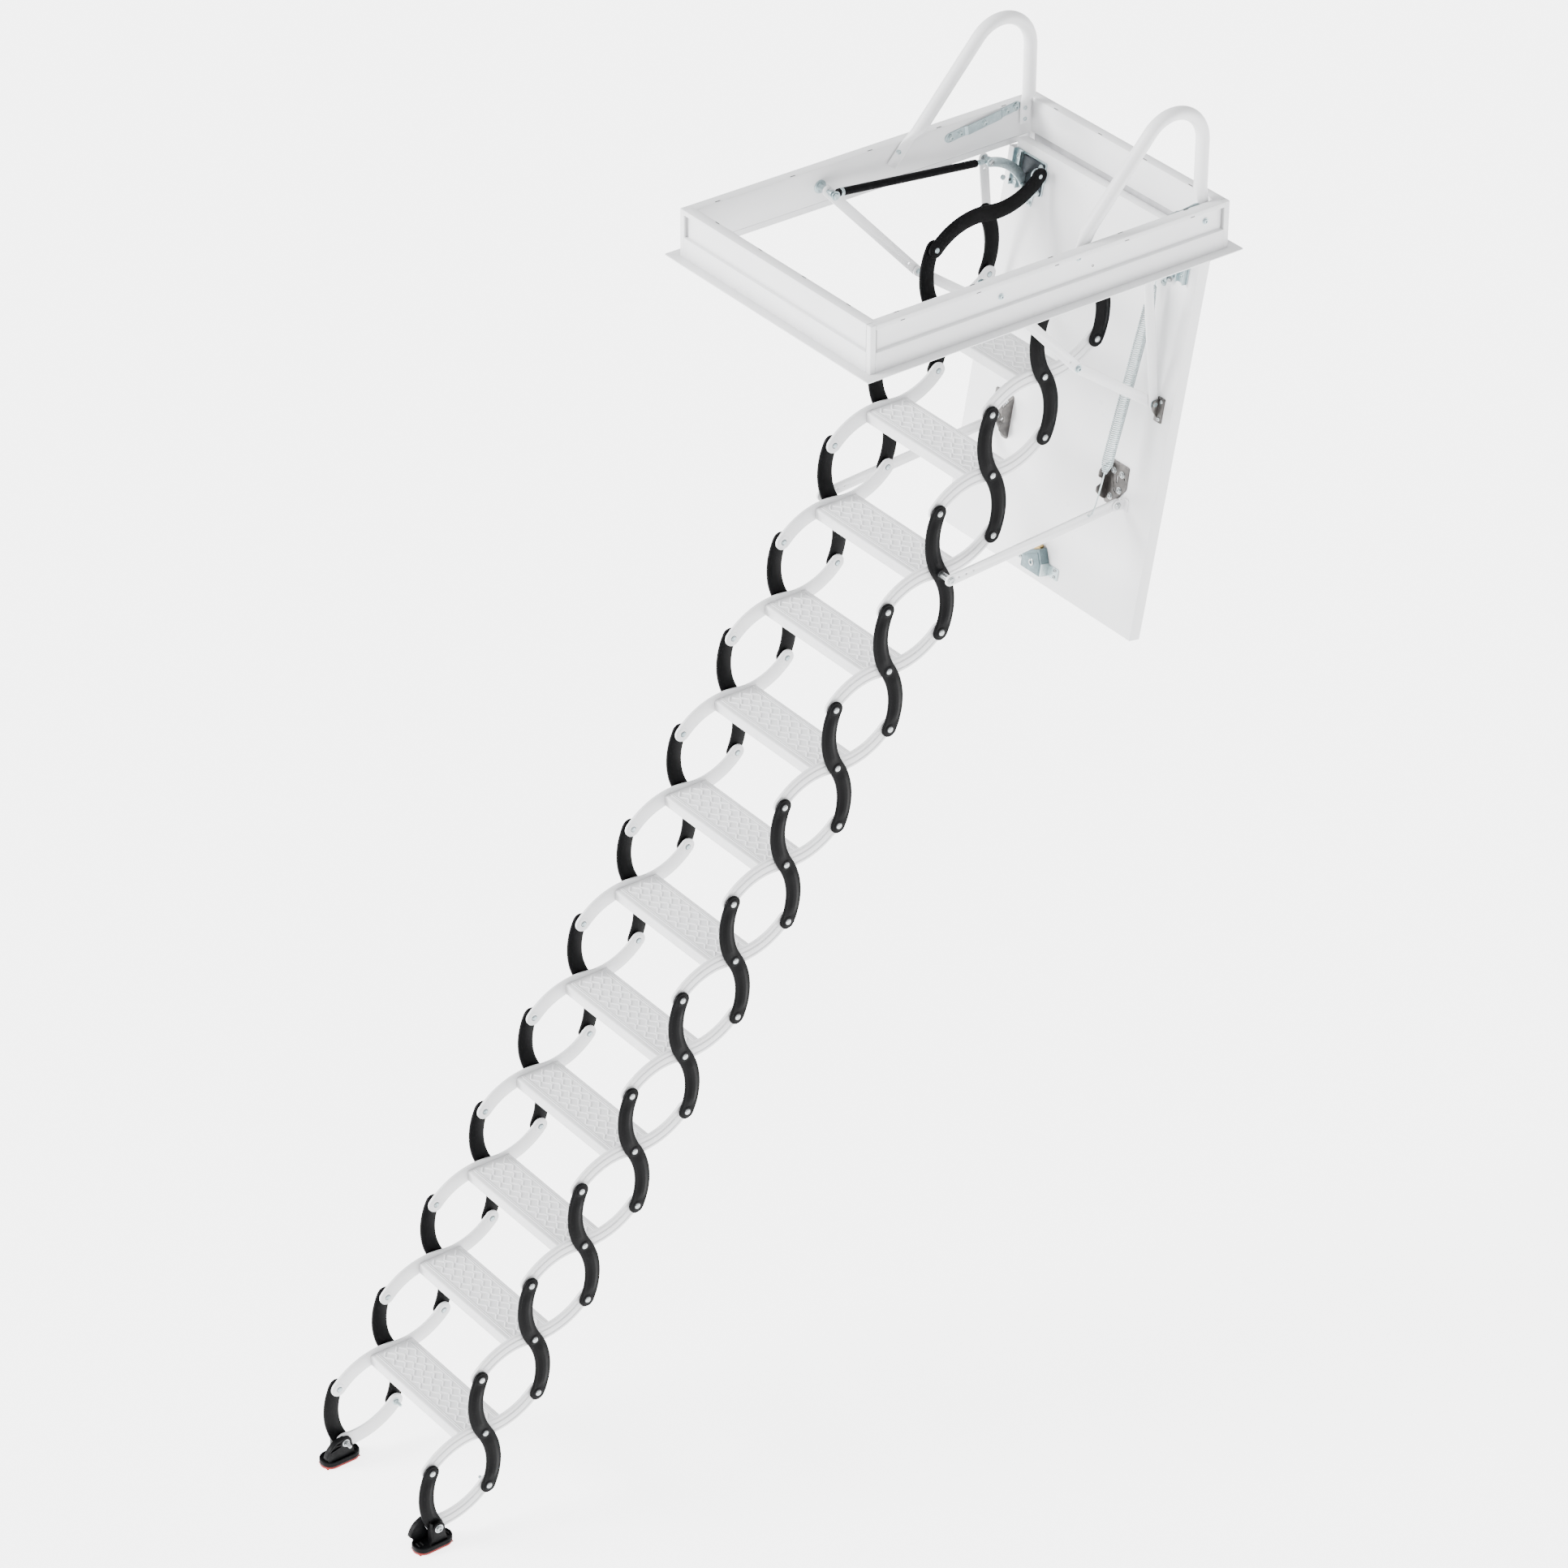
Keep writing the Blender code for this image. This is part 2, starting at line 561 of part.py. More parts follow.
def build_feet():
    """Foot shoe: pad, outer ear, inner cheek with its curved fin and the pivot bolt, measured from the pivot."""
    pad_top = -FOOT_SOLE + FOOT_PAD_THICK - 0.001
    origin = Vector((0.0, 0.0))
    ear = [Vector((-0.024, pad_top)), Vector((0.024, pad_top))]
    ear += [origin + FOOT_CHEEK_RADIUS * unit(180.0 * k / 8) for k in range(9)]
    fin = [Vector(FOOT_FIN_MIDDLE) + FOOT_FIN_RADIUS * unit(90.0 + 78.0 * k / 6) for k in range(7)]
    fin += [Vector((-0.045, pad_top)), Vector((0.024, pad_top)), Vector((FOOT_CHEEK_RADIUS, 0.0))]
    fin += [origin + FOOT_CHEEK_RADIUS * unit(degrees) for degrees in (45.0, 80.0)]
    outer = side_plate([ear], BLACK_OUT + 0.002, 0.2175)
    inner = side_plate([fin], 0.1735, 0.1850)
    bolt = rod((0.168, 0.0, 0.0), (0.2225, 0.0, 0.0), PIN_RADIUS)
    shoe = combine(foot_pad(), [outer, inner, bolt], "UNION")
    both_sides("foot", shoe, PLASTIC, crossing(0))


# ---------------------------------------------------------------- build
clear_scene()
PART = bpy.data.collections.new("attic_ladder")
CUTTERS = bpy.data.collections.new("cutters")
bpy.context.scene.collection.children.link(PART)
bpy.context.scene.collection.children.link(CUTTERS)
WHITE = make_finish("white_powder_coat")
BLACK = make_finish("black_powder_coat")
ZINC = make_finish("zinc_plate")
PLASTIC = make_finish("black_plastic")

build_frame()
build_handrails()
build_hatch()
build_stays()
build_struts()
build_support_bars()
build_top_links()
build_cross_links()
build_steps()
build_base_links()
build_feet()
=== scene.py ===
"""Attic ladder looks: detailed pieces, finishes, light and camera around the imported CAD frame.

Metres, +Z up, +Y towards the hatch hinge, +X to the climber's right, as in the CAD.
"""
import math

import bmesh
import bpy
from mathutils import Matrix, Vector


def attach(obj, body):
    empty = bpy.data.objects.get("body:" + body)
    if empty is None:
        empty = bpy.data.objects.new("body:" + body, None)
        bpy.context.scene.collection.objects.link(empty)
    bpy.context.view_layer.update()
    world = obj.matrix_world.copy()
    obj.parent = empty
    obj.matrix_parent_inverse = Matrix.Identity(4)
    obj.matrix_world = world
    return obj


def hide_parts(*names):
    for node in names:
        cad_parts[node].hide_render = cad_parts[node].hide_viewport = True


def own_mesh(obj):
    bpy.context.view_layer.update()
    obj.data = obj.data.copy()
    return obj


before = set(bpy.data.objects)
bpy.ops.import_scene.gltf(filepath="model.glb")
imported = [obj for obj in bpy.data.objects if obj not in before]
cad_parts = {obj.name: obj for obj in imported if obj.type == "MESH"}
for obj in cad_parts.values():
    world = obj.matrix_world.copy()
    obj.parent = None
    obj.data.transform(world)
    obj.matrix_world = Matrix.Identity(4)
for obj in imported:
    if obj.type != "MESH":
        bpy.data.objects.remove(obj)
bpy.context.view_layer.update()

# ---------------------------------------------------------------- dimensions shared with the CAD
HALF_X, LENGTH_Y = 0.35, 1.018
TOP_Z, BASE_Z, LEDGE_Z, WALL = 0.085, -0.036, -0.003, 0.028
HINGE, HATCH_DEG, HATCH_THICK = Vector((-0.042, -0.0355)), 80.145, 0.032
LINK_HALF, LINK_BULGE = 0.1584, 0.02
BLACK_DEG, WHITE_DEG = 92.187, 18.107
TOP_PIVOT = Vector((-0.1084, -0.0421))
STAY_FRAME, STAY_ELBOW, STAY_HATCH = Vector((-0.645, 0.038)), Vector((-0.3835, -0.2437)), (0.387, 0.0145)
LEVER_TIP, LEVER_ROOT = (0.003, 0.119), (0.08, -0.001)
BAR_PIVOT = (0.6636, 0.022)
STRUT_X = 0.2765
RAIL_X, RAIL_RADIUS = 0.3055, 0.016
RAIL_REAR_Y, RAIL_BEND, RAIL_BEND_Z, RAIL_LEAN, RAIL_LOW_Z = -0.052, 0.0895, 0.2325, 48.0, 0.03
FLOOR_Z = -2.847
SIDES = (("right", 1.0), ("left", -1.0))
STAGES = range(1, 13)
BAR_STAGE = 10
# sheets that stand on edge, as (inner x, outer x)
STAY_OUTER, STAY_INNER = (0.2925, 0.2975), (0.2865, 0.2915)
LEVER_SHEET, BAR_SHEET = (0.2655, 0.2705), (0.2385, 0.2445)
RIGHT, INWARDS, ORIGIN = (1, 0, 0), (-1, 0, 0), Vector((0, 0))


def unit(degrees):
    return Vector((math.cos(math.radians(degrees)), math.sin(math.radians(degrees))))


def mm(*spots):
    """Spots given in millimetres."""
    return [tuple(value / 1000 for value in spot) for spot in spots]


def span(side, near, far):
    """The two x values of something between two distances from the middle, lower one first."""
    return sorted((side * near, side * far))


def turned(vector, degrees):
    c, s = math.cos(math.radians(degrees)), math.sin(math.radians(degrees))
    return Vector((c * vector[0] - s * vector[1], s * vector[0] + c * vector[1]))


BLACK_ARM, WHITE_ARM = LINK_HALF * unit(BLACK_DEG), LINK_HALF * unit(WHITE_DEG)
TOP_CROSSING = TOP_PIVOT - WHITE_ARM


def crossing(stage):
    return TOP_CROSSING - (13 - stage) * (BLACK_ARM + WHITE_ARM)


def hatch_point(down, off):
    """Point of the open hatch in the y-z plane: distance down from the hinge, height over the inner face."""
    return HINGE + turned((-down, off + HATCH_THICK), HATCH_DEG)


def columns(first, second, third, origin):
    """Matrix with the given columns."""
    rows = [(first[k], second[k], third[k], origin[k]) for k in range(3)]
    return Matrix(rows + [(0.0, 0.0, 0.0, 1.0)])


DOWN, OFF, TOP_OF_HATCH = turned((-1, 0), HATCH_DEG), turned((0, 1), HATCH_DEG), hatch_point(0, 0)
ON_HATCH = columns((1, 0, 0), (0, *DOWN), (0, *OFF), (0, *TOP_OF_HATCH))
SIDE_PLANE = columns((0, 1, 0), (0, 0, 1), (1, 0, 0), (0, 0, 0))
FLAT_PLANE = columns((1, 0, 0), (0, 1, 0), (0, 0, 1), (0, 0, 0))


# ---------------------------------------------------------------- finishes
OBJECT_SHIFT = 9.0


class Nodes:
    """Small helper that wires a node tree around its Principled shader."""

    def __init__(self, name):
        self.material = bpy.data.materials.new(name)
        self.material.use_nodes = True
        self.tree = self.material.node_tree
        self.shader = self.tree.nodes["Principled BSDF"]

    def fill(self, item, **inputs):
        """Set inputs of a node, each to a constant or to another node's output."""
        for key, value in inputs.items():
            self.set(item.inputs[key.replace("_", " ")], value)
        return item

    def node(self, kind, **inputs):
        return self.fill(self.tree.nodes.new(kind), **inputs)

    def set(self, socket, value):
        if isinstance(value, bpy.types.NodeSocket):
            self.tree.links.new(value, socket)
        else:
            socket.default_value = value

    def product(self, first, second):
        item = self.node("ShaderNodeMath")
        item.operation = "MULTIPLY"
        self.set(item.inputs[0], first)
        self.set(item.inputs[1], second)
        return item.outputs[0]

    def place(self, stretch=(1.0, 1.0, 1.0)):
        """Object coordinates, shifted by a random amount for each object so that copies differ."""
        coordinates = self.node("ShaderNodeTexCoord").outputs["Object"]
        shift = self.product(self.node("ShaderNodeObjectInfo").outputs["Random"], OBJECT_SHIFT)
        return self.node("ShaderNodeMapping", Vector=coordinates, Location=shift, Scale=stretch).outputs["Vector"]

    def noise(self, place, scale, detail=3.0, rough=0.55):
        return self.node("ShaderNodeTexNoise", Vector=place, Scale=scale, Detail=detail,
                Roughness=rough).outputs["Fac"]

    def ramp(self, value, low, high, low_out=0.0, high_out=1.0):
        item = self.node("ShaderNodeMapRange", Value=value, From_Min=low, From_Max=high, To_Min=low_out,
                To_Max=high_out)
        item.clamp = True
        return item.outputs["Result"]

    def mix(self, factor, first, second):
        item = self.tree.nodes.new("ShaderNodeMix")
        item.data_type = "RGBA"
        self.set(item.inputs[0], factor)
        for socket, value in ((item.inputs[6], first), (item.inputs[7], second)):
            self.set(socket, value if isinstance(value, bpy.types.NodeSocket) else (*value, 1.0))
        return item.outputs[2]

    def bump(self, height, distance, strength=1.0, normal=None):
        item = self.node("ShaderNodeBump", Height=height, Distance=distance, Strength=strength)
        if normal is not None:
            self.set(item.inputs["Normal"], normal)
        return item.outputs["Normal"]


def coating(name, colour, shade, rough, peel=750.0, peel_depth=0.00006, edge_wear_and_highlight=None, coat=0.0, gloss=0.5):
    """Powder coat or paint: orange peel, soft cloudy tone, uneven gloss, faint specks and a changed colour on sharp
    edges: darker wear on the white coats, a lighter painted highlight on the black coat.
    """
    n = Nodes(name)
    at = n.place()
    clouds = n.ramp(n.noise(at, 5.0, 4.0), 0.32, 0.68)
    base = n.mix(clouds, shade, colour)
    specks = n.ramp(n.noise(at, 420.0, 2.0), 0.7, 0.78, 0.0, 0.35)
    base = n.mix(specks, base, tuple(0.82 * c for c in colour))
    # sharp edges take the edge colour in patches: darker wear on white coats, a lighter painted highlight on the
    # black coat
    if edge_wear_and_highlight is not None:
        edge = n.node("ShaderNodeNewGeometry").outputs["Pointiness"]
        edge_patches = n.ramp(n.noise(at, 60.0, 5.0), 0.45, 0.7)
        base = n.mix(n.product(n.ramp(edge, 0.53, 0.6, 0.0, 0.7), edge_patches), base, edge_wear_and_highlight)
    waves = n.bump(n.noise(at, 9.0, 2.0), 0.0005, 0.35)
    n.fill(n.shader, Base_Color=base, Specular_IOR_Level=gloss, Coat_Weight=coat, Coat_Roughness=0.18,
            Roughness=n.ramp(n.noise(at, 22.0, 5.0), 0.3, 0.7, rough - 0.06, rough + 0.08),
            Normal=n.bump(n.noise(at, peel, 2.0), peel_depth, 0.6, waves))
    return n.material


def plated(name, colour, patch, rough, stretch=(1.0, 1.0, 1.0), grain=500.0):
    """Zinc or nickel plate: faint crystalline patches, drawn grain, stains and uneven gloss."""
    n = Nodes(name)
    at = n.place()
    cells = n.node("ShaderNodeTexVoronoi", Vector=at, Scale=90.0).outputs["Distance"]
    tone = n.mix(n.ramp(n.noise(at, 14.0, 5.0), 0.35, 0.65), colour, patch)
    tone = n.mix(n.ramp(cells, 0.2, 0.7, 0.0, 0.35), tone, tuple(0.75 * c for c in patch))
    streaks = n.noise(n.place(stretch), grain, 4.0)
    n.fill(n.shader, Base_Color=tone, Metallic=0.9, Roughness=n.ramp(streaks, 0.3, 0.7, rough - 0.08, rough + 0.12),
            Normal=n.bump(streaks, 0.00004, 0.5))
    return n.material


def moulded(name, colour, shade, rough, grain=1400.0, gloss=0.4):
    """Moulded plastic or rubber: pitted grain, scuffs and dusty tone."""
    n = Nodes(name)
    at = n.place()
    tone = n.mix(n.ramp(n.noise(at, 30.0, 6.0), 0.4, 0.7), colour, shade)
    pits = n.node("ShaderNodeTexVoronoi", Vector=at, Scale=grain).outputs["Distance"]
    n.fill(n.shader, Base_Color=tone, Specular_IOR_Level=gloss, Normal=n.bump(pits, 0.00008, 0.7),
            Roughness=n.ramp(n.noise(at, 50.0, 5.0), 0.3, 0.7, rough - 0.1, rough + 0.1))
    return n.material


WHITE = coating("white_coat", (0.7, 0.7, 0.705), (0.665, 0.667, 0.675), 0.36, edge_wear_and_highlight=(0.56, 0.56, 0.57), coat=0.12)
CAST_WHITE = coating("cast_white_coat", (0.69, 0.69, 0.695), (0.645, 0.647, 0.655), 0.4, peel=620.0,
        peel_depth=0.00009, edge_wear_and_highlight=(0.6, 0.6, 0.61), coat=0.08)
# brighter white for the raised tread dashes: a painted highlight
HIGHLIGHT_WHITE = coating("painted_highlight_white_coat", (0.88, 0.88, 0.885), (0.85, 0.852, 0.858), 0.34, peel=620.0,
        peel_depth=0.00006, edge_wear_and_highlight=(0.86, 0.86, 0.87), coat=0.12)
LAMINATE = coating("white_laminate", (0.71, 0.71, 0.715), (0.69, 0.692, 0.7), 0.33, peel=1500.0, peel_depth=0.00002,
        edge_wear_and_highlight=(0.7, 0.7, 0.7), coat=0.15)
# black coat: its lighter edge colour is a painted highlight along the bevels
BLACK = coating("black_coat", (0.0016, 0.0016, 0.0018), (0.0032, 0.0032, 0.0036), 0.4, peel=650.0, peel_depth=0.0001,
        edge_wear_and_highlight=(0.03, 0.03, 0.033), gloss=0.045)
ZINC = plated("zinc", (0.46, 0.54, 0.56), (0.33, 0.41, 0.43), 0.34)
DRAWN = plated("drawn_zinc", (0.52, 0.6, 0.61), (0.4, 0.47, 0.48), 0.3, (1.0, 8.0, 8.0), 300.0)
BRONZE = plated("dark_nickel", (0.15, 0.142, 0.135), (0.075, 0.072, 0.07), 0.34)
STEEL = plated("bright_steel", (0.46, 0.48, 0.485), (0.34, 0.36, 0.365), 0.26)
SLATE = plated("slate_zinc", (0.16, 0.21, 0.225), (0.1, 0.14, 0.15), 0.33)
INK = plated("dark_pad", (0.04, 0.048, 0.055), (0.026, 0.03, 0.034), 0.42)
BRASS = plated("brass", (0.42, 0.29, 0.12), (0.32, 0.22, 0.09), 0.28)
PLASTIC = moulded("black_moulding", (0.002, 0.002, 0.0022), (0.0045, 0.0045, 0.005), 0.46, gloss=0.07)
RUBBER = moulded("red_rubber", (0.26, 0.012, 0.008), (0.17, 0.012, 0.01), 0.62, 900.0)
# dark colour for small rings around rivets and fittings, and for the frame slots, where it is painted shade of the
# openings
DARK_RINGS_AND_SLOT_SHADE = moulded("dark_rings_painted_slot_shade", (0.03, 0.03, 0.032), (0.055, 0.055, 0.058), 0.7, 700.0)
# grey gasket; its grey is partly the seal's own colour and partly painted shade of the groove beside the hatch
GREY_SEAL_AND_GROOVE_SHADE = moulded("grey_seal_painted_groove_shade", (0.38, 0.38, 0.39), (0.3, 0.3, 0.31), 0.7, 700.0)
# grey for the ends of the outside recess at the frame corners: painted shade
RECESS_END_SHADE = coating("painted_recess_shade_grey", (0.34, 0.34, 0.345), (0.26, 0.26, 0.265), 0.55)


# ---------------------------------------------------------------- mesh building
def curve_plate(loops, low, high, bevel):
    """Flat plate with holes and rounded rims, from outlines in a plane."""
    curve = bpy.data.curves.new("plate", "CURVE")
    curve.dimensions = "2D"
    curve.fill_mode = "BOTH"
    curve.bevel_depth = bevel
    curve.bevel_resolution = 1
    curve.offset = -bevel
    curve.extrude = (high - low) / 2 - bevel
    for loop in loops:
        spline = curve.splines.new("POLY")
        spline.points.add(len(loop) - 1)
        for point, spot in zip(spline.points, loop):
            point.co = (spot[0], spot[1], 0.0, 1.0)
        spline.use_cyclic_u = True
    holder = bpy.data.objects.new("plate", curve)
    bpy.context.scene.collection.objects.link(holder)
    mesh = bpy.data.meshes.new_from_object(holder.evaluated_get(bpy.context.evaluated_depsgraph_get()))
    bpy.data.objects.remove(holder)
    bpy.data.curves.remove(curve)
    mesh.transform(Matrix.Translation((0, 0, (low + high) / 2)))
    return mesh


SHARP_DEG = 34.0


class Sculpt:
    """Collects closed shells, each with a material number, and turns them into one piece."""

    def __init__(self):
        self.points, self.faces, self.slots = [], [], []

    def add(self, points, faces, slot=0, matrix=None):
        start = len(self.points)
        self.points += [matrix @ Vector(p) if matrix else Vector(p) for p in points]
        self.faces += [[start + i for i in face] for face in faces]
        self.slots += [slot] * len(faces)

    def loft(self, rings, slot=0, caps=True):
        """Skin over a row of rings, with a flat cap at both ends."""
        size, count = len(rings[0]), len(rings)
        faces = []
        for a in range(0, (count - 1) * size, size):
            b = a + size
            faces += [[a + i, a + (i + 1) % size, b + (i + 1) % size, b + i] for i in range(size)]
        if caps:
            faces += [list(range(size)), [(count - 1) * size + i for i in range(size)][::-1]]
        self.add([p for ring in rings for p in ring], faces, slot)

    def lathe(self, base, axis, profile, slot=0, sides=20):
        """Turned shape: profile holds (radius, distance along the axis)."""
        base, axis = Vector(base), Vector(axis).normalized()
        across = axis.orthogonal().normalized()
        other = axis.cross(across)
        rings = []
        for radius, along in profile:
            rings.append([base + axis * along + radius * (math.cos(t) * across + math.sin(t) * other)
                    for t in (2 * math.pi * k / sides for k in range(sides))])
        self.loft(rings, slot)

    def plate(self, loops, low, high, slot=0, bevel=0.0007, plane=SIDE_PLANE):
        """Sheet with rounded rims, by default standing on edge from x = low to x = high."""
        mesh = curve_plate(loops, low, high, bevel)
        self.add([v.co for v in mesh.vertices], [list(p.vertices) for p in mesh.polygons], slot, plane)
        bpy.data.meshes.remove(mesh)

    def box(self, low, high, slot=0, bevel=0.001, plane=None, steps=2):
        shape = bmesh.new()
        bmesh.ops.create_cube(shape, size=1.0)
        low, high = Vector(low), Vector(high)
        move = Matrix.Translation((low + high) / 2) @ Matrix.Diagonal((*(high - low), 1.0))
        bmesh.ops.transform(shape, verts=shape.verts, matrix=move)
        if bevel:
            bmesh.ops.bevel(shape, geom=list(shape.edges), offset=bevel, segments=steps, profile=0.5, affect="EDGES")
        shape.verts.index_update()
        self.add([v.co for v in shape.verts], [[v.index for v in f.verts] for f in shape.faces], slot, plane)
        shape.free()

    def tube(self, path, radius, slot=0, sides=16, squeeze=None):
        """Round bar along a 3D path. squeeze may move each point afterwards."""
        path = [Vector(p) for p in path]
        rings, across = [], None
        for point, before, after in zip(path, path[:1] + path, path[1:] + path[-1:]):
            ahead = after - before
            ahead.normalize()
            across = ahead.orthogonal() if across is None else across - across.dot(ahead) * ahead
            across.normalize()
            other = ahead.cross(across)
            ring = [point + radius * (math.cos(t) * across + math.sin(t) * other)
                    for t in (2 * math.pi * i / sides for i in range(sides))]
            rings.append([squeeze(p) for p in ring] if squeeze else ring)
        self.loft(rings, slot)

    def rivet(self, base, axis, slot, ring_slot, size=0.00725, height=0.0034):
        """Flattened dome with a dimple, seated on a thin ring."""
        self.lathe(base, axis, [(size + 0.0012, -0.0004), (size + 0.0012, 0.0003), (size, 0.0004)], ring_slot, 24)
        self.lathe(base, axis, [(size, -0.001), (size, 0.25 * height), (0.93 * size, 0.55 * height),
                (0.72 * size, 0.83 * height), (0.42 * size, height), (0.2 * size, height),
                (0.13 * size, 0.8 * height), (0.02 * size, 0.78 * height)], slot, 24)

    def bolt(self, base, axis, slot, radius=0.0065, height=0.0045, washer=True, hexagon=False):
        """Screw head with a socket, on a washer."""
        lift = 0.0
        if washer:
            lift = 0.0012
            self.lathe(base, axis, [(1.45 * radius, -0.0005), (1.45 * radius, 0.0009), (1.4 * radius, lift),
                    (0.9 * radius, lift)], slot, 24)
        if hexagon:
            self.lathe(base, axis, [(radius, lift - 0.0005), (radius, lift + 0.86 * height),
                    (0.86 * radius, lift + height), (0.1 * radius, lift + height)], slot, 6)
            return
        self.lathe(base, axis, [(radius, lift - 0.0005), (radius, lift + 0.45 * height),
                (0.85 * radius, lift + 0.85 * height), (0.55 * radius, lift + height), (0.48 * radius, lift + height),
                (0.44 * radius, lift + 0.45 * height), (0.05 * radius, lift + 0.4 * height)], slot, 18)

    def mirrored(self):
        copy = Sculpt()
        copy.points = [Vector((-p.x, p.y, p.z)) for p in self.points]
        copy.faces = [face[::-1] for face in self.faces]
        copy.slots = list(self.slots)
        return copy

    def mesh(self, name, materials):
        mesh = bpy.data.meshes.new(name)
        mesh.from_pydata([tuple(p) for p in self.points], [], self.faces)
        for material in materials:
            mesh.materials.append(material)
        for polygon, slot in zip(mesh.polygons, self.slots):
            polygon.material_index = slot
        shape = bmesh.new()
        shape.from_mesh(mesh)
        bmesh.ops.remove_doubles(shape, verts=shape.verts, dist=2e-6)
        bmesh.ops.dissolve_degenerate(shape, edges=shape.edges, dist=1e-7)
        bmesh.ops.recalc_face_normals(shape, faces=shape.faces)
        shape.to_mesh(mesh)
        shape.free()
        mesh.polygons.foreach_set("use_smooth", [True] * len(mesh.polygons))
        mesh.set_sharp_from_angle(angle=math.radians(SHARP_DEG))
        return mesh


def piece(name, mesh, body, nodes=(), at=None):
    """Put a mesh in the scene, tie it to its body, and hide the CAD nodes it stands for."""
    item = bpy.data.objects.new(name, mesh)
    bpy.context.scene.collection.objects.link(item)
    if at is not None:
        item.location = (0.0, at[0], at[1])
    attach(item, body)
    if nodes:
        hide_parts(*nodes)
    return item


def pair(name, sculpt, materials, body, node=None, at=None):
    """The right-hand piece and its mirror image."""
    for side, sign in SIDES:
        shape = sculpt if sign > 0 else sculpt.mirrored()
        nodes = ("%s_%s" % (node, side),) if node else ()
        piece("%s_%s" % (name, side), shape.mesh(name, materials), body, nodes, at)


def circle(centre, radius, sides=20):
    return [Vector(centre) + radius * unit(360.0 * k / sides) for k in range(sides)]


def stadium(start, end, half_width, steps=12):
    start, end = Vector(start), Vector(end)
    heading = math.degrees(math.atan2(end.y - start.y, end.x - start.x))
    far = [end + half_width * unit(heading + 90.0 - 180.0 * k / steps) for k in range(steps + 1)]
    near = [start + half_width * unit(heading - 90.0 - 180.0 * k / steps) for k in range(steps + 1)]
    return far + near


def rounded(corners, radius):
    """Polygon with its corners rounded."""
    points, steps = [Vector(c) for c in corners], 4
    out = []
    for k, corner in enumerate(points):
        back, ahead = (points[k - 1] - corner), (points[(k + 1) % len(points)] - corner)
        cut = min(radius, 0.45 * back.length, 0.45 * ahead.length)
        first, last = corner + cut * back.normalized(), corner + cut * ahead.normalized()
        for i in range(steps + 1):
            t = i / steps
            out.append((1 - t) ** 2 * first + 2 * t * (1 - t) * corner + t * t * last)
    return out


def smooth_step(value, low, high):
    t = min(1.0, max(0.0, (value - low) / (high - low)))
    return t * t * (3 - 2 * t)


# ---------------------------------------------------------------- links with a pressed rib
ARC_POINTS, CAP_POINTS = 16, 10


def link_loop(width, bulge, whole):
    """Outline at a half width, as (u, v, distance to the nearest pivot), with the same count for all widths."""
    radius = (LINK_HALF ** 2 / 4 + LINK_BULGE ** 2) / (2 * LINK_BULGE)
    limit = math.asin(LINK_HALF / 2 / radius)

    def edge(offset):
        points = []
        for k in range(ARC_POINTS + 1):
            angle = limit * (2 * k / ARC_POINTS - 1)
            r = radius + bulge * offset
            away = min(k, ARC_POINTS - k) / ARC_POINTS * LINK_HALF
            points.append((LINK_HALF / 2 + r * math.sin(angle), bulge * (r * math.cos(angle) - (radius - LINK_BULGE)),
                    away))
        return points

    def cap(centre, start):
        spots = [Vector((centre, 0.0)) + width * unit(start - 180.0 * k / CAP_POINTS) for k in range(1, CAP_POINTS)]
        return [(p.x, p.y, 0.0) for p in spots]

    def opposite(points):
        return [(-u, -v, away) for u, v, away in points]

    left, right = edge(width), edge(-width)
    turn = bulge * math.degrees(limit)
    top = cap(LINK_HALF, 90.0 - turn)
    if not whole:
        return left + top + right[::-1] + cap(0.0, -90.0 + turn)
    lower_left = opposite(right)[::-1]
    lower_right = opposite(left)[::-1]
    return lower_left[:-1] + left + top + right[::-1][:-1] + lower_right[::-1] + opposite(top)


RIBBED = ((0.0, 1.0), (0.0035, 1.0), (0.005, 0.93), (0.0066, 0.78), (0.0125, 0.14), (0.014, 0.03), (0.0155, 0.0),
        (0.0178, 0.0))
GROOVED = ((0.0, 0.9), (0.0052, 0.9), (0.006, 0.8), (0.007, -0.25), (0.0078, -0.35), (0.0098, -0.35), (0.0106, -0.25),
        (0.012, 0.55), (0.013, 0.6), (0.0172, 0.25))


def pressed_link(sculpt, bulge, whole, inner, face, rib, degrees, centre, grooved=False):
    """A link with a long raised rib between its pivots and a flat round pad at each pivot."""
    outer_rings = GROOVED if grooved else RIBBED
    levels = [(w, lambda away, share=share: face + share * rib * smooth_step(away, 0.015, 0.034))
              for w, share in outer_rings]
    levels += [(0.019, lambda away: face - 0.0003), (0.0197, lambda away: face - 0.001),
            (0.02, lambda away: face - 0.002), (0.02, lambda away: inner + 0.0012),
            (0.0196, lambda away: inner + 0.0004), (0.0188, lambda away: inner), (0.0, lambda away: inner)]
    rings = []
    for width, level in levels:
        ring = []
        for u, v, away in link_loop(width, bulge, whole):
            spot = Vector(centre) + turned((u, v), degrees)
            ring.append((level(away), spot.x, spot.y))
        rings.append(ring)
    sculpt.loft(rings, caps=False)


def pad(sculpt, x, spot):
    """Flat round seat for a rivet."""
    sculpt.lathe((x, *spot), RIGHT, mm((13.2, -1), (13.2, 0.4), (12.4, 0.9), (9.2, 0.9)), 0, 28)


BLACK_FACE, RAIL_FACE, RIB = 0.2056, 0.1938, 0.0034
BLACK_BACK, RAIL_BACK = 0.1985, 0.1865
BLACK_LINK_FINISHES = [BLACK, STEEL, DARK_RINGS_AND_SLOT_SHADE, ZINC]


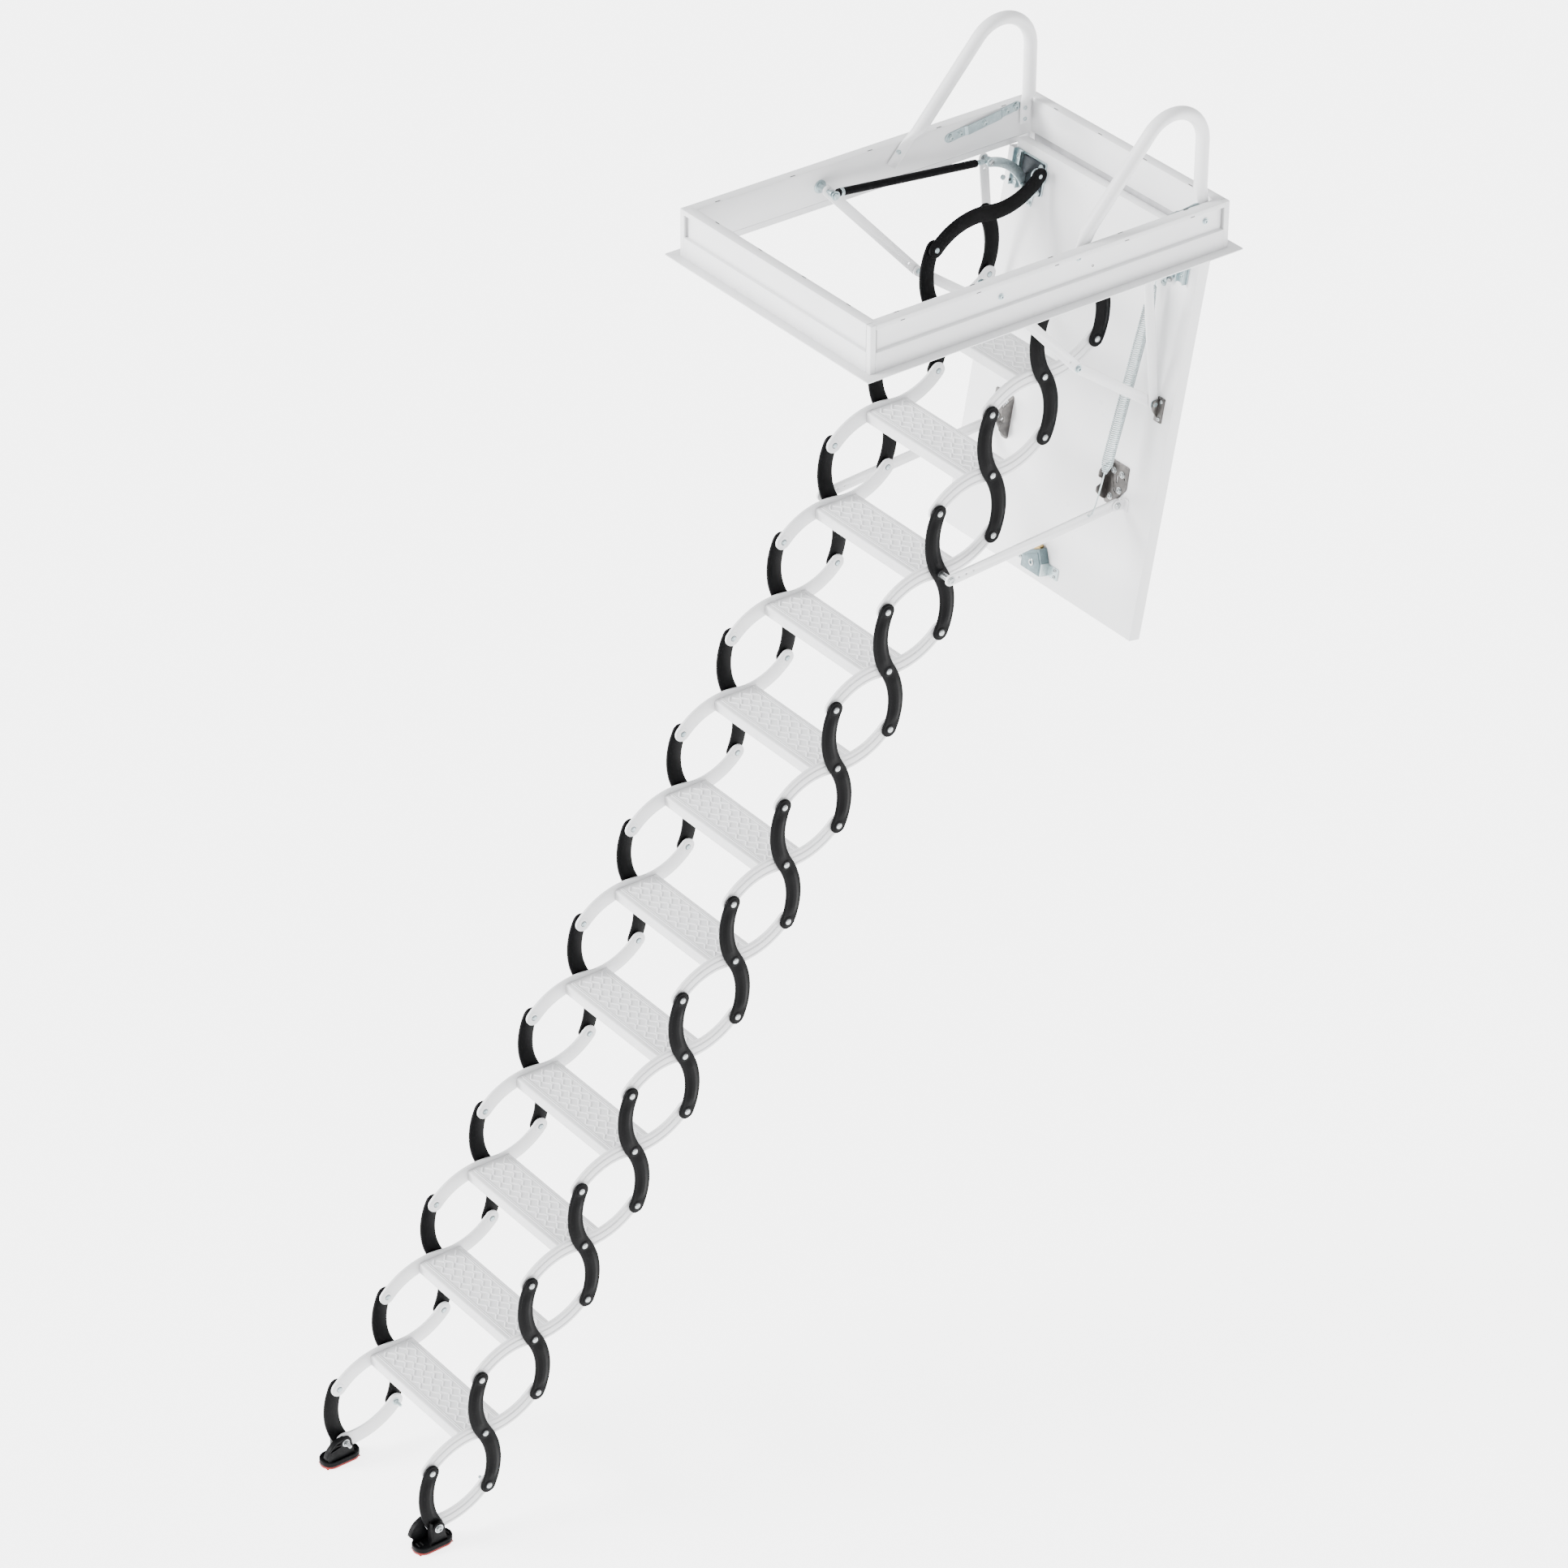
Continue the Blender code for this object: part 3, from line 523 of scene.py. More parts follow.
def black_link(whole, degrees, centre, pivots, tails):
    """Black link with a rivet at each pivot, whose tail shows on the inside at the tails."""
    shape = Sculpt()
    pressed_link(shape, 1, whole, BLACK_BACK, BLACK_FACE, RIB, degrees, centre)
    for spot in pivots:
        pad(shape, BLACK_FACE, spot)
        shape.rivet((BLACK_FACE + 0.0009, *spot), RIGHT, 1, 2)
        if spot in tails:
            shape.lathe((RAIL_BACK - 0.001, *spot), RIGHT, mm((5, 0), (5, 14)), 1)
            shape.rivet((RAIL_BACK - 0.0007, *spot), INWARDS, 3, 2, 0.0062, 0.0028)
    return shape


def build_cross_links():
    tips = (-BLACK_ARM, BLACK_ARM)
    plain, long_pin = (black_link(True, BLACK_DEG, ORIGIN, (tips[0], ORIGIN, tips[1]), tips) for _ in range(2))
    long_pin.lathe((BLACK_FACE, 0, 0), RIGHT, mm((9, 0), (9, 0.5), (7.8, 1), (7.8, 31.8)), 1, 24)
    meshes = {}
    for side, sign in SIDES:
        for kind, shape in (("plain", plain), ("long", long_pin)):
            shown = shape if sign > 0 else shape.mirrored()
            meshes[side, kind] = shown.mesh("cross_link_%s_%s" % (kind, side), BLACK_LINK_FINISHES)
    for stage in STAGES:
        for side, _ in SIDES:
            mesh = meshes[side, "long" if stage == BAR_STAGE else "plain"]
            piece("black_link_%s_%02d" % (side, stage), mesh, "cross_links_%02d" % stage,
                    ("cross_link_%s_%02d" % (side, stage),), crossing(stage))


def build_top_links():
    top = Sculpt()
    pressed_link(top, -1, True, RAIL_BACK, RAIL_FACE, RIB * 0.9, WHITE_DEG, -WHITE_ARM)
    for spot in (ORIGIN, -2 * WHITE_ARM):
        pad(top, RAIL_FACE, spot)
        top.rivet((RAIL_FACE + 0.0009, *spot), RIGHT, 1, 2, 0.0058, 0.002)
    top.lathe((RAIL_FACE, *(-WHITE_ARM)), RIGHT, mm((4.6, -1), (4.6, 1.2), (3.6, 2.2), (2.4, 2), (2, 0), (0.2, -0.2)),
            1, 20)
    pair("top_link", top, BLACK_LINK_FINISHES, "top_links", "top_link", TOP_PIVOT)
    half = black_link(False, BLACK_DEG + 180.0, ORIGIN, (ORIGIN, -BLACK_ARM), (-BLACK_ARM,))
    pair("top_half_link", half, BLACK_LINK_FINISHES, "top_half_links", "top_half_link",
            TOP_CROSSING)


def threads(radius, start, count, tip):
    """Profile of a threaded end: count ridges from start, then a tapered tip."""
    return [(radius - 0.0005 * (k % 2), start + 0.0008 * k) for k in range(count)] + [tip]


def build_base_links():
    """Lower half links; the white one carries a threaded bolt on its upper pivot, seen from inside."""
    foot = crossing(0)
    black = black_link(False, BLACK_DEG, -BLACK_ARM, (ORIGIN,), (ORIGIN,))
    pair("base_black_link", black, BLACK_LINK_FINISHES, "base_black_links", "base_black_link",
            foot + BLACK_ARM)
    white = Sculpt()
    pressed_link(white, -1, False, RAIL_BACK, RAIL_FACE, RIB * 0.8, WHITE_DEG, -WHITE_ARM, True)
    white.lathe((RAIL_BACK + 0.0005, 0, 0), INWARDS, mm((9.8, 0), (9.8, 1.4), (9.2, 1.8), (4, 1.9)), 1, 24)
    white.lathe((RAIL_BACK - 0.0012, 0, 0), INWARDS, mm((7.4, 0), (7.4, 5.6), (6.6, 6.4), (3.6, 6.5)), 1, 6)
    white.lathe((RAIL_BACK - 0.0012, 0, 0), INWARDS, threads(0.004, 0.006, 18, (0.0026, 0.0212)), 1, 16)
    pair("base_white_link", white, [CAST_WHITE, DRAWN], "base_white_links", "base_white_link",
            foot + WHITE_ARM)


# ---------------------------------------------------------------- treads
TREAD_HALF_X, TREAD_HALF_Y, TREAD_TOP, TREAD_LOW, SHEET = 0.1855, 0.0605, 0.01, -0.016, 0.0028


def tread_profile():
    """Closed section: folded lip, rounded nosing, and a pair of raised lines at the front and at the back."""
    def ridge(middle):
        section = mm((-1.3, 0), (-0.6, 1.5), (0.6, 1.5), (1.3, 0))
        return [(middle + run, TREAD_TOP + rise) for run, rise in section]

    def nosing(edge, radius, start):
        hub = Vector((edge, TREAD_TOP - radius))
        return [tuple(hub + radius * unit(start - 15 * k)) for k in range(7)]

    nose = nosing(-TREAD_HALF_Y + 0.005, 0.005, 180)
    tail = nosing(TREAD_HALF_Y - 0.004, 0.004, 90)
    outer = [(-TREAD_HALF_Y, TREAD_LOW)] + nose + ridge(-0.047) + ridge(-0.0425) + ridge(0.044) + ridge(0.0485)
    outer += tail + [(TREAD_HALF_Y, TREAD_LOW)]
    inside, under = TREAD_HALF_Y - SHEET, TREAD_TOP - SHEET
    inner = [(inside, TREAD_LOW), (inside, under - 0.003), (inside - 0.003, under), (-inside + 0.003, under),
            (-inside, under - 0.003), (-inside, TREAD_LOW)]
    return outer + inner


def tread_shape():
    """One tread: the bent sheet, its raised pattern, the webs below and the end plates."""
    shape = Sculpt()
    section = tread_profile()
    rings = []
    for x, shrink in ((-TREAD_HALF_X, 0.0004), (-TREAD_HALF_X + 0.0006, 0.0), (TREAD_HALF_X - 0.0006, 0.0),
            (TREAD_HALF_X, 0.0004)):
        rings.append([(x, y * (1 - shrink / 0.06), z - shrink * (z > 0)) for y, z in section])
    shape.loft(rings)
    # rows of short raised dashes that lean to both sides in turn, coloured a brighter white that is a painted
    # highlight on their tops
    rows, spots, pitch_x, pitch_y = 5, 19, 0.0186, 0.0158
    for row in range(rows):
        for k in range(spots):
            x = (k - (spots - 1) / 2) * pitch_x + (row % 2) * 0.35 * pitch_x - 0.002
            y = 0.001 + (row - (rows - 1) / 2) * pitch_y
            lean = 38.0 if (k + row) % 2 else -38.0
            along, across = 0.0108 * unit(lean), 0.0021 * unit(lean + 90.0)
            corners = ((-1, -1), (1, -1), (1, 1), (-1, 1))
            low = [Vector((x, y)) + a * along + b * across for a, b in corners]
            high = [Vector((x, y)) + 0.88 * a * along + 0.5 * b * across for a, b in corners]
            shape.loft([[(*p, TREAD_TOP - 0.0004) for p in low], [(*p, TREAD_TOP + 0.0019) for p in high]], 1)
    # stiffening webs under the sheet, and the end plates that carry the rails
    under = TREAD_TOP - SHEET
    for y in (-0.022, 0.022):
        shape.box((-0.18, y - 0.0013, -0.006), (0.18, y + 0.0013, under + 0.0005), bevel=0.0006, steps=1)
    for x in (-0.12, -0.06, 0.0, 0.06, 0.12):
        shape.box((x - 0.0012, -0.057, -0.004), (x + 0.0012, 0.057, under + 0.0005), bevel=0.0005, steps=1)
    for side in (-1, 1):
        x = span(side, 0.1822, 0.1852)
        shape.box((x[0], -0.057, TREAD_LOW + 0.002), (x[1], 0.057, under + 0.0003), bevel=0.0006, steps=1)
    return shape


def rail_shape():
    """White rail of a step: pressed rib outside, plain inside with small riveted ends."""
    shape = Sculpt()
    pressed_link(shape, -1, True, RAIL_BACK, RAIL_FACE, RIB * 0.8, WHITE_DEG, ORIGIN, True)
    for spot in (-WHITE_ARM, WHITE_ARM):
        shape.lathe((RAIL_BACK + 0.001, *spot), INWARDS, mm((15, 0), (15, 1.2), (14.3, 1.7), (5.2, 1.8)), 0, 24)
    return shape


def build_steps():
    tread = tread_shape().mesh("tread", [CAST_WHITE, HIGHLIGHT_WHITE])
    rail = rail_shape()
    rails = {"right": rail.mesh("rail_right", [CAST_WHITE]),
             "left": rail.mirrored().mesh("rail_left", [CAST_WHITE])}
    for stage in STAGES:
        body, node = "step_%02d" % stage, ("step_%02d" % stage,)
        piece("tread_%02d" % stage, tread, body, node, crossing(stage))
        for side, _ in SIDES:
            piece("white_rail_%s_%02d" % (side, stage), rails[side], body, node,
                    crossing(stage))


# ---------------------------------------------------------------- ceiling frame
CORNER = 0.0155
BOARD_STATIONS = 40


def board_profile():
    """Section of a frame board as (depth inwards, height): rounded top, outside recess, inner ledge and skirt."""
    outer = [(0.0, BASE_Z + 0.002)]
    outer += mm((0.3, -12), (0, 12), (0.8, 15.5), (3, 17), (7.8, 17.5), (8.5, 18.5), (8.5, 70), (7.8, 71.2),
            (1.2, 71.6), (0, 72.8))
    outer += [(0.0, TOP_Z - 0.003), (0.0009, TOP_Z - 0.0009), (0.003, TOP_Z), (WALL - 0.003, TOP_Z),
            (WALL - 0.0009, TOP_Z - 0.0009), (WALL, TOP_Z - 0.003)]
    inner = [(WALL, 0.02), (WALL - 0.0006, 0.018), (WALL - 0.0006, LEDGE_Z + 0.001), (WALL - 0.0016, LEDGE_Z),
            (0.006, LEDGE_Z), (0.0042, LEDGE_Z - 0.0015), (0.004, BASE_Z + 0.002)]
    return outer + inner


def run_board(shape, profile, start, end, inward, drop, waves):
    """Sweep the section from start to end, its top lowered by drop, its lower outside skin a little wavy."""
    start, end, inward = Vector(start), Vector(end), Vector(inward)
    rings = []
    for k in range(BOARD_STATIONS + 1):
        t = k / BOARD_STATIONS
        at = start.lerp(end, t)
        ring = []
        for depth, z in profile:
            ripple = 0.0
            if waves and depth < 0.001 and -0.03 < z < 0.014:
                ripple = waves * (math.sin(11.0 * t + 0.7) + 0.6 * math.sin(23.0 * t)) * (1.0 if z > 0 else 0.6)
            spot = at + inward * (depth - ripple * math.sin(math.pi * t))
            ring.append((spot.x, spot.y, z - (drop if z > 0.05 else 0.0)))
        rings.append(ring)
    shape.loft(rings)


def build_frame():
    x, y_front = HALF_X, -LENGTH_Y
    profile = board_profile()
    boards = (
        ("frame_board_front", (-x + CORNER, y_front), (x - CORNER, y_front), (0, 1), 0.0, 0.0007),
        ("frame_board_hinge", (x - CORNER, 0.0), (-x + CORNER, 0.0), (0, -1), 0.0, 0.0),
        ("frame_board_right", (x, y_front + CORNER), (x, -CORNER), (-1, 0), 0.0002, 0.0004),
        ("frame_board_left", (-x, -CORNER), (-x, y_front + CORNER), (1, 0), 0.0002, 0.0),
    )
    for name, start, end, inward, drop, waves in boards:
        shape = Sculpt()
        run_board(shape, profile, start, end, inward, drop, waves)
        piece(name, shape.mesh(name, [WHITE, RECESS_END_SHADE]), "frame", ("ceiling_frame",))
    posts = Sculpt()
    for sx in (-1, 1):
        for y_low, y_high in ((y_front + 0.0002, y_front + CORNER + 0.0004), (-CORNER - 0.0004, -0.0002)):
            front = y_low < -LENGTH_Y / 2
            xs = span(sx, x - 0.0002, x - CORNER - 0.0004)
            posts.box((xs[0], y_low, BASE_Z + 0.001), (xs[1], y_high, TOP_Z - 0.0004), 0, 0.0022, steps=3)
            # grey slivers where the outside recess meets the corner post: painted shade of the recess end
            grey = span(sx, x - CORNER - 0.0035, x - CORNER - 0.0003)
            y_end = (y_low + 0.0016, y_low + 0.0095) if front else (y_high - 0.0095, y_high - 0.0016)
            posts.box((grey[0], y_end[0], 0.019), (grey[1], y_end[1], 0.07), 1, 0.0003, steps=1)
            side = span(sx, x - 0.0016, x - 0.0095)
            y_grey = (y_high - 0.0001, y_high + 0.0034) if front else (y_low - 0.0034, y_low + 0.0001)
            posts.box((side[0], y_grey[0], 0.019), (side[1], y_grey[1], 0.07), 1, 0.0003, steps=1)
    piece("frame_corner_posts", posts.mesh("corner_posts", [WHITE, RECESS_END_SHADE]), "frame",
            ("ceiling_frame",))
    brim = Sculpt()
    out, half = 0.025, x - 0.001
    rim = rounded([(-x - out, y_front - out), (x + out, y_front - out), (x + out, out), (-x - out, out)], 0.004)
    opening = rounded([(-half, y_front + 0.001), (half, y_front + 0.001), (half, -0.001), (-half, -0.001)], 0.002)
    brim.plate([rim, opening], BASE_Z, BASE_Z + 0.003, 0, 0.0008, FLAT_PLANE)
    piece("frame_flange", brim.mesh("flange", [WHITE]), "frame", ("ceiling_frame",))
    # grey gasket strips; on the hinge side their grey also stands for the shade in the groove between board and hatch
    # (painted shade)
    seal = Sculpt()
    seal.box((-x + 0.032, -0.0212, LEDGE_Z - 0.03), (x - 0.032, -0.0186, LEDGE_Z + 0.0005), 0, 0.001)
    seal.box((-x + 0.006, y_front + 0.006, LEDGE_Z - 0.004), (x - 0.006, y_front + 0.024, LEDGE_Z + 0.0002), 0,
            0.0012)
    for sx in (-1, 1):
        xs = span(sx, x - 0.006, x - 0.024)
        seal.box((xs[0], y_front + 0.01, LEDGE_Z - 0.004), (xs[1], -0.03, LEDGE_Z + 0.0002), 0, 0.0012)
    piece("frame_seal", seal.mesh("seal", [GREY_SEAL_AND_GROOVE_SHADE]), "frame")


def build_frame_fittings():
    hardware = Sculpt()
    for sx in (-1, 1):
        outside = sx * HALF_X
        for y, z in mm((-650, 41), (-432, 69), (-65, 49)):
            hardware.bolt((outside - sx * 0.0085, y, z), (sx, 0, 0), 0, 0.0055, 0.004)
        hardware.lathe((outside - sx * 0.0084, -0.39, 0.037), (sx, 0, 0), mm((3, -1), (3, 0.4), (1.9, 0.5),
                (1.8, -0.4)), 1, 16)
        inside = sx * (HALF_X - WALL)
        for y, z in mm((-425, 63), (-56, 69), (-56, 41)):
            hardware.bolt((inside - sx * 0.0066, y, z), (-sx, 0, 0), 0, 0.0055, 0.0038)
        # stay pin: bracket, spacer and domed nut
        hardware.lathe((inside + sx * 0.001, *STAY_FRAME), (-sx, 0, 0), mm((16.5, 0), (16.5, 2.5), (15.5, 3.2),
                (9.5, 3.4), (8.5, 5), (8.5, 24), (6, 24.5), (4.6, 25), (4.6, 60), (4, 61)), 0, 24)
        hardware.bolt((sx * 0.263, *STAY_FRAME), (-sx, 0, 0), 0, 0.0078, 0.0055, True, True)
    piece("frame_bolts", hardware.mesh("frame_bolts", [ZINC, DARK_RINGS_AND_SLOT_SHADE]), "frame")
    brace = Sculpt()
    for sx in (-1, 1):
        wall = sx * (HALF_X - WALL)
        start, end = Vector((-0.2745, 0.052)), Vector((-0.0762, 0.077))
        along = (end - start).normalized()
        across = 0.0115 * turned(along, 90.0)
        rings = []
        for run, rise in mm((0, 0), (46, 0), (52, 4.5), (150, 4.5), (156, 0), (199.8, 0)):
            spot, face = start + run * along, wall - sx * (0.0032 + rise)
            back = face + sx * 0.003
            rings.append([(face, *(spot - across)), (face, *(spot + across)), (back, *(spot + across)),
                    (back, *(spot - across))])
        brace.loft(rings)
        for spot in (start, end):
            brace.lathe((wall + sx * 0.0004, *spot), (-sx, 0, 0), mm((11.5, 0), (11.5, 3), (11, 3.6), (2, 3.6)), 0,
                    28)
        for run, rise in mm((4, 0), (32, 0), (101, 4.5), (170, 0), (196, 0)):
            brace.bolt((wall - sx * (0.0034 + rise), *(start + run * along)), (-sx, 0, 0), 1, 0.0056, 0.0042)
    piece("frame_brace_plates", brace.mesh("brace_plates", [ZINC, DRAWN]), "frame")
    # slots drawn as flat dark patches, not cut: painted shade of the openings
    slots = Sculpt()
    for y in (-0.93, -0.72, -0.5, -0.3, -0.11):
        for sx in (-1, 1):
            xs = span(sx, HALF_X - WALL + 0.0026, HALF_X - WALL + 0.0052)
            slots.box((xs[0], y - 0.007, TOP_Z - 0.002), (xs[1], y + 0.007, TOP_Z + 0.00015), 0, 0.0)
            xs = span(sx, HALF_X - 0.0002, HALF_X + 0.00012)
            slots.box((xs[0], y - 0.006, 0.0748), (xs[1], y + 0.006, 0.077), 0, 0.0)
    for px in (-0.24, -0.08, 0.08, 0.24):
        for y in (-LENGTH_Y + WALL - 0.0052, -WALL + 0.0026):
            slots.box((px - 0.007, y, TOP_Z - 0.002), (px + 0.007, y + 0.0026, TOP_Z + 0.00015), 0, 0.0)
    piece("frame_slots", slots.mesh("frame_slots", [DARK_RINGS_AND_SLOT_SHADE]), "frame")


def rail_path():
    """Centre line of a grab rail in the y-z plane: leaning front leg, bend and upright rear leg."""
    centre = Vector((RAIL_REAR_Y - RAIL_BEND, RAIL_BEND_Z))
    tangent = centre + RAIL_BEND * unit(90.0 + RAIL_LEAN)
    foot = tangent + (tangent.y - RAIL_LOW_Z) / math.sin(math.radians(RAIL_LEAN)) * unit(180.0 + RAIL_LEAN)
    line = [foot.lerp(tangent, k / 24) for k in range(24)]
    arc = [centre + RAIL_BEND * unit((90.0 + RAIL_LEAN) * (1.0 - k / 28)) for k in range(29)]
    rear = [Vector((RAIL_REAR_Y, RAIL_BEND_Z - k * (RAIL_BEND_Z - RAIL_LOW_Z) / 20)) for k in range(1, 21)]
    return line + arc + rear


def build_handrails():
    wall = HALF_X - WALL - 0.0004

    def press(point):
        """Squash the tube's ends flat against the board."""
        keep = 0.3 + 0.7 * smooth_step(point.z, 0.078, 0.112)
        return Vector((wall - keep * (wall - point.x), point.y, point.z))

    shape = Sculpt()
    path = [(RAIL_X, p.x, p.y) for p in rail_path()]
    shape.tube(path, RAIL_RADIUS, 0, 24, press)
    pair("handrail", shape, [WHITE], "frame", "handrail")


# ---------------------------------------------------------------- hatch
def build_hatch():
    board = Sculpt()
    wide, tongue, top, notch, end = 0.345, 0.319, -0.0255, 0.003, 0.9713
    outline = [(-wide, end), (wide, end), (wide, notch), (tongue, notch), (tongue, top), (-tongue, top),
            (-tongue, notch), (-wide, notch)]
    board.plate([outline], -HATCH_THICK, 0.0, 0, 0.0016, ON_HATCH)
    piece("hatch_board", board.mesh("hatch_board", [LAMINATE]), "hatch", ("hatch_panel",))
    cover = Sculpt()
    cover.box((-wide + 0.002, notch + 0.002, -HATCH_THICK - 0.0008), (wide - 0.002, end - 0.002,
            -HATCH_THICK + 0.002), 0, 0.0007, ON_HATCH)
    piece("hatch_ceiling_face", cover.mesh("hatch_face", [LAMINATE]), "hatch")


def side_point(x, down, off):
    """hatch_point with its x in front."""
    spot = hatch_point(down, off)
    return Vector((x, spot.x, spot.y))


def bowed_strip(start, end, half_width, sag):
    """Outline of a strip that bows to one side, with round ends."""
    chord, steps = (end - start).length, 24
    heading = math.degrees(math.atan2(end.y - start.y, end.x - start.x))
    radius = (chord ** 2 / 4 + sag ** 2) / (2 * sag)
    limit = math.degrees(math.asin(chord / 2 / radius))
    hub = start.lerp(end, 0.5) + (radius - sag) * unit(heading + 90.0)
    sweep = [heading - 90.0 - limit + 2 * limit * k / steps for k in range(steps + 1)]
    outer = [hub + (radius + half_width) * unit(a) for a in sweep]
    inner = [hub + (radius - half_width) * unit(a) for a in reversed(sweep)]
    round_end = [end + half_width * unit(sweep[-1] + 180.0 * k / 8) for k in range(1, 8)]
    round_start = [start + half_width * unit(sweep[0] + 180.0 + 180.0 * k / 8) for k in range(1, 8)]
    return outer + round_end + inner + round_start


def build_hatch_fittings():
    outward = (0, *OFF)
    bracket = Sculpt()
    bracket.plate([rounded(mm((205, -3), (318, -3), (318, 86), (300, 90), (289, 86), (255, 86), (248, 118),
            (238, 118), (232, 86), (205, 80)), 0.005)], -0.001, 0.0026, 0, 0.0005, ON_HATCH)
    bracket.plate([rounded(mm((209, 1), (284, 1), (284, 60), (262, 81), (209, 81)), 0.005)], 0.002, 0.0072, 1, 0.0008,
            ON_HATCH)
    for low, high in ((0.2875, 0.29), (0.312, 0.3145)):
        bracket.box((low, -0.003, 0.001), (high, 0.088, 0.0135), 0, 0.0006, ON_HATCH, 1)
    bracket.box((0.2875, -0.003, 0.001), (0.3145, 0.088, 0.004), 0, 0.0006, ON_HATCH, 1)
    for x, down, height in mm((216.5, 10, 7.2), (216.5, 73, 7.2), (301, 14, 4), (301, 43, 4), (301, 72, 4),
            (243, 109, 2.6)):
        bracket.bolt(side_point(x, down, height), outward, 2, 0.0052, 0.0036)
    ear = [stadium(hatch_point(0.0179, 0.0325), hatch_point(0.03, 0.0), 0.014), circle(TOP_PIVOT, 0.004)]
    bracket.plate(ear, 0.2008, 0.2052, 0, 0.0008)
    bracket.lathe((0.185, *TOP_PIVOT), RIGHT, mm((4, 0), (5.2, 0.6), (5.2, 16), (11.5, 16.5), (11.5, 20), (8.5, 20.5),
            (8.5, 24.5), (7, 26.2), (4, 26.8)), 2, 24)
    pair("hatch_top_bracket", bracket, [ZINC, INK, DRAWN], "hatch")

    lever = Sculpt()
    root, tip, low = hatch_point(*LEVER_ROOT), hatch_point(*LEVER_TIP), hatch_point(*STAY_HATCH)
    lever.plate([bowed_strip(root, tip, 0.012, 0.02)], *LEVER_SHEET, 0, 0.0012)
    middle = hatch_point(0.055, 0.049)
    for spot in (hatch_point(0.062, 0.024), hatch_point(0.048, 0.07)):
        lever.lathe((LEVER_SHEET[1], *spot), RIGHT, mm((6.2, -1), (6.2, 3.5), (5.2, 4.5), (2, 4.6)), 0, 20)
    lever.lathe((LEVER_SHEET[1], *middle), RIGHT, mm((3.5, -1), (3.5, 0.6), (2.6, 0.7), (2.5, -0.5)), 2, 16)
    lever.plate([rounded([hatch_point(0.066, 0.0), hatch_point(0.066, 0.018), hatch_point(0.098, 0.018),
            hatch_point(0.098, 0.0)], 0.004)], 0.2605, LEVER_SHEET[0], 0, 0.0008)
    for down in (0.073, 0.091):
        lever.bolt(side_point(LEVER_SHEET[1], down, 0.0105), RIGHT, 1, 0.0045, 0.0032)
    lever.lathe((0.262, *tip), RIGHT, mm((6, 0), (7.5, 1), (7.5, 8.5), (4.6, 9), (4.6, 30), (9.5, 30.2), (9.5, 32),
            (7.5, 32.5), (7.2, 37), (5, 39.5), (2, 40)), 1, 24)
    pair("hatch_lever", lever, [ZINC, STEEL, DARK_RINGS_AND_SLOT_SHADE], "hatch")

    tie = Sculpt()
    tie.plate([stadium(tip, low, 0.0125), circle(low.lerp(tip, 0.93), 0.003)], *STAY_OUTER, 0, 0.001)
    tie.bolt((STAY_OUTER[1], *low), RIGHT, 1, 0.0072, 0.005, True, True)
    tie.lathe((0.285, *low), RIGHT, mm((6, 0), (6, 13.5)), 1, 18)
    pair("hatch_tie_bar", tie, [WHITE, ZINC], "hatch")

    seat = Sculpt()
    seat.box((0.294, 0.37, -0.001), (0.318, 0.43, 0.0052), 0, 0.0012, ON_HATCH)
    seat.plate([rounded([hatch_point(0.374, 0.002), hatch_point(0.378, 0.022), hatch_point(0.4, 0.022),
            hatch_point(0.424, 0.002)], 0.006)], 0.2995, 0.3035, 0, 0.0008)
    for down in (0.378, 0.421):
        seat.bolt(side_point(0.311, down, 0.0052), outward, 1, 0.0045, 0.003, False)
    pair("hatch_stay_seat", seat, [BRONZE, STEEL], "hatch")

    catch = Sculpt()
    leaf = rounded(mm((180, 574), (245, 574), (247, 629), (222, 662), (200, 684), (180, 684)), 0.005)
    holes = [stadium((0.211, 0.606), (0.211, 0.622), 0.0024, 8), circle((0.2365, 0.606), 0.0022, 12),
            stadium((0.2055, 0.64), (0.2125, 0.6475), 0.002, 8)]
    catch.plate([leaf] + holes, -0.0005, 0.003, 0, 0.0007, ON_HATCH)
    fin = mm((578, -1), (680, -1), (673, 14), (656, 33), (643, 33), (637, 20), (624, 20), (618, 33), (601, 33),
            (586, 14))
    catch.plate([rounded([hatch_point(s, h) for s, h in fin], 0.004)], 0.1785, 0.1815, 0, 0.0007)
    for x, down in mm((197, 598.6), (226, 598.6), (225, 638.6), (198.5, 663.6)):
        catch.bolt(side_point(x, down, 0.003), outward, 1, 0.0058, 0.004)
    catch.tube([side_point(0.23, 0.65, 0.002), side_point(0.2302, 0.655, 0.01), side_point(0.2306, 0.662, 0.015),
            side_point(0.231, 0.67, 0.014), side_point(0.2312, 0.674, 0.008)], 0.0022, 0, 10)
    ear = [stadium(hatch_point(*BAR_PIVOT), hatch_point(BAR_PIVOT[0], -0.001), 0.013)]
    catch.plate(ear, 0.2455, 0.2485, 2, 0.0008)
    catch.plate([rounded(mm((244, 648), (262, 648), (262, 680), (244, 680)), 0.004)], -0.0005, 0.0028, 2, 0.0006,
            ON_HATCH)
    catch.lathe((0.238, *hatch_point(*BAR_PIVOT)), RIGHT, mm((4.5, 0), (5.8, 0.5), (5.8, 10.4), (8.8, 10.6),
            (8.8, 12.2), (7.4, 12.8), (7, 15), (4.5, 16.5), (3, 16), (0.4, 15.8)), 1, 24)
    pair("hatch_catch_plate", catch, [BRONZE, STEEL, WHITE], "hatch")


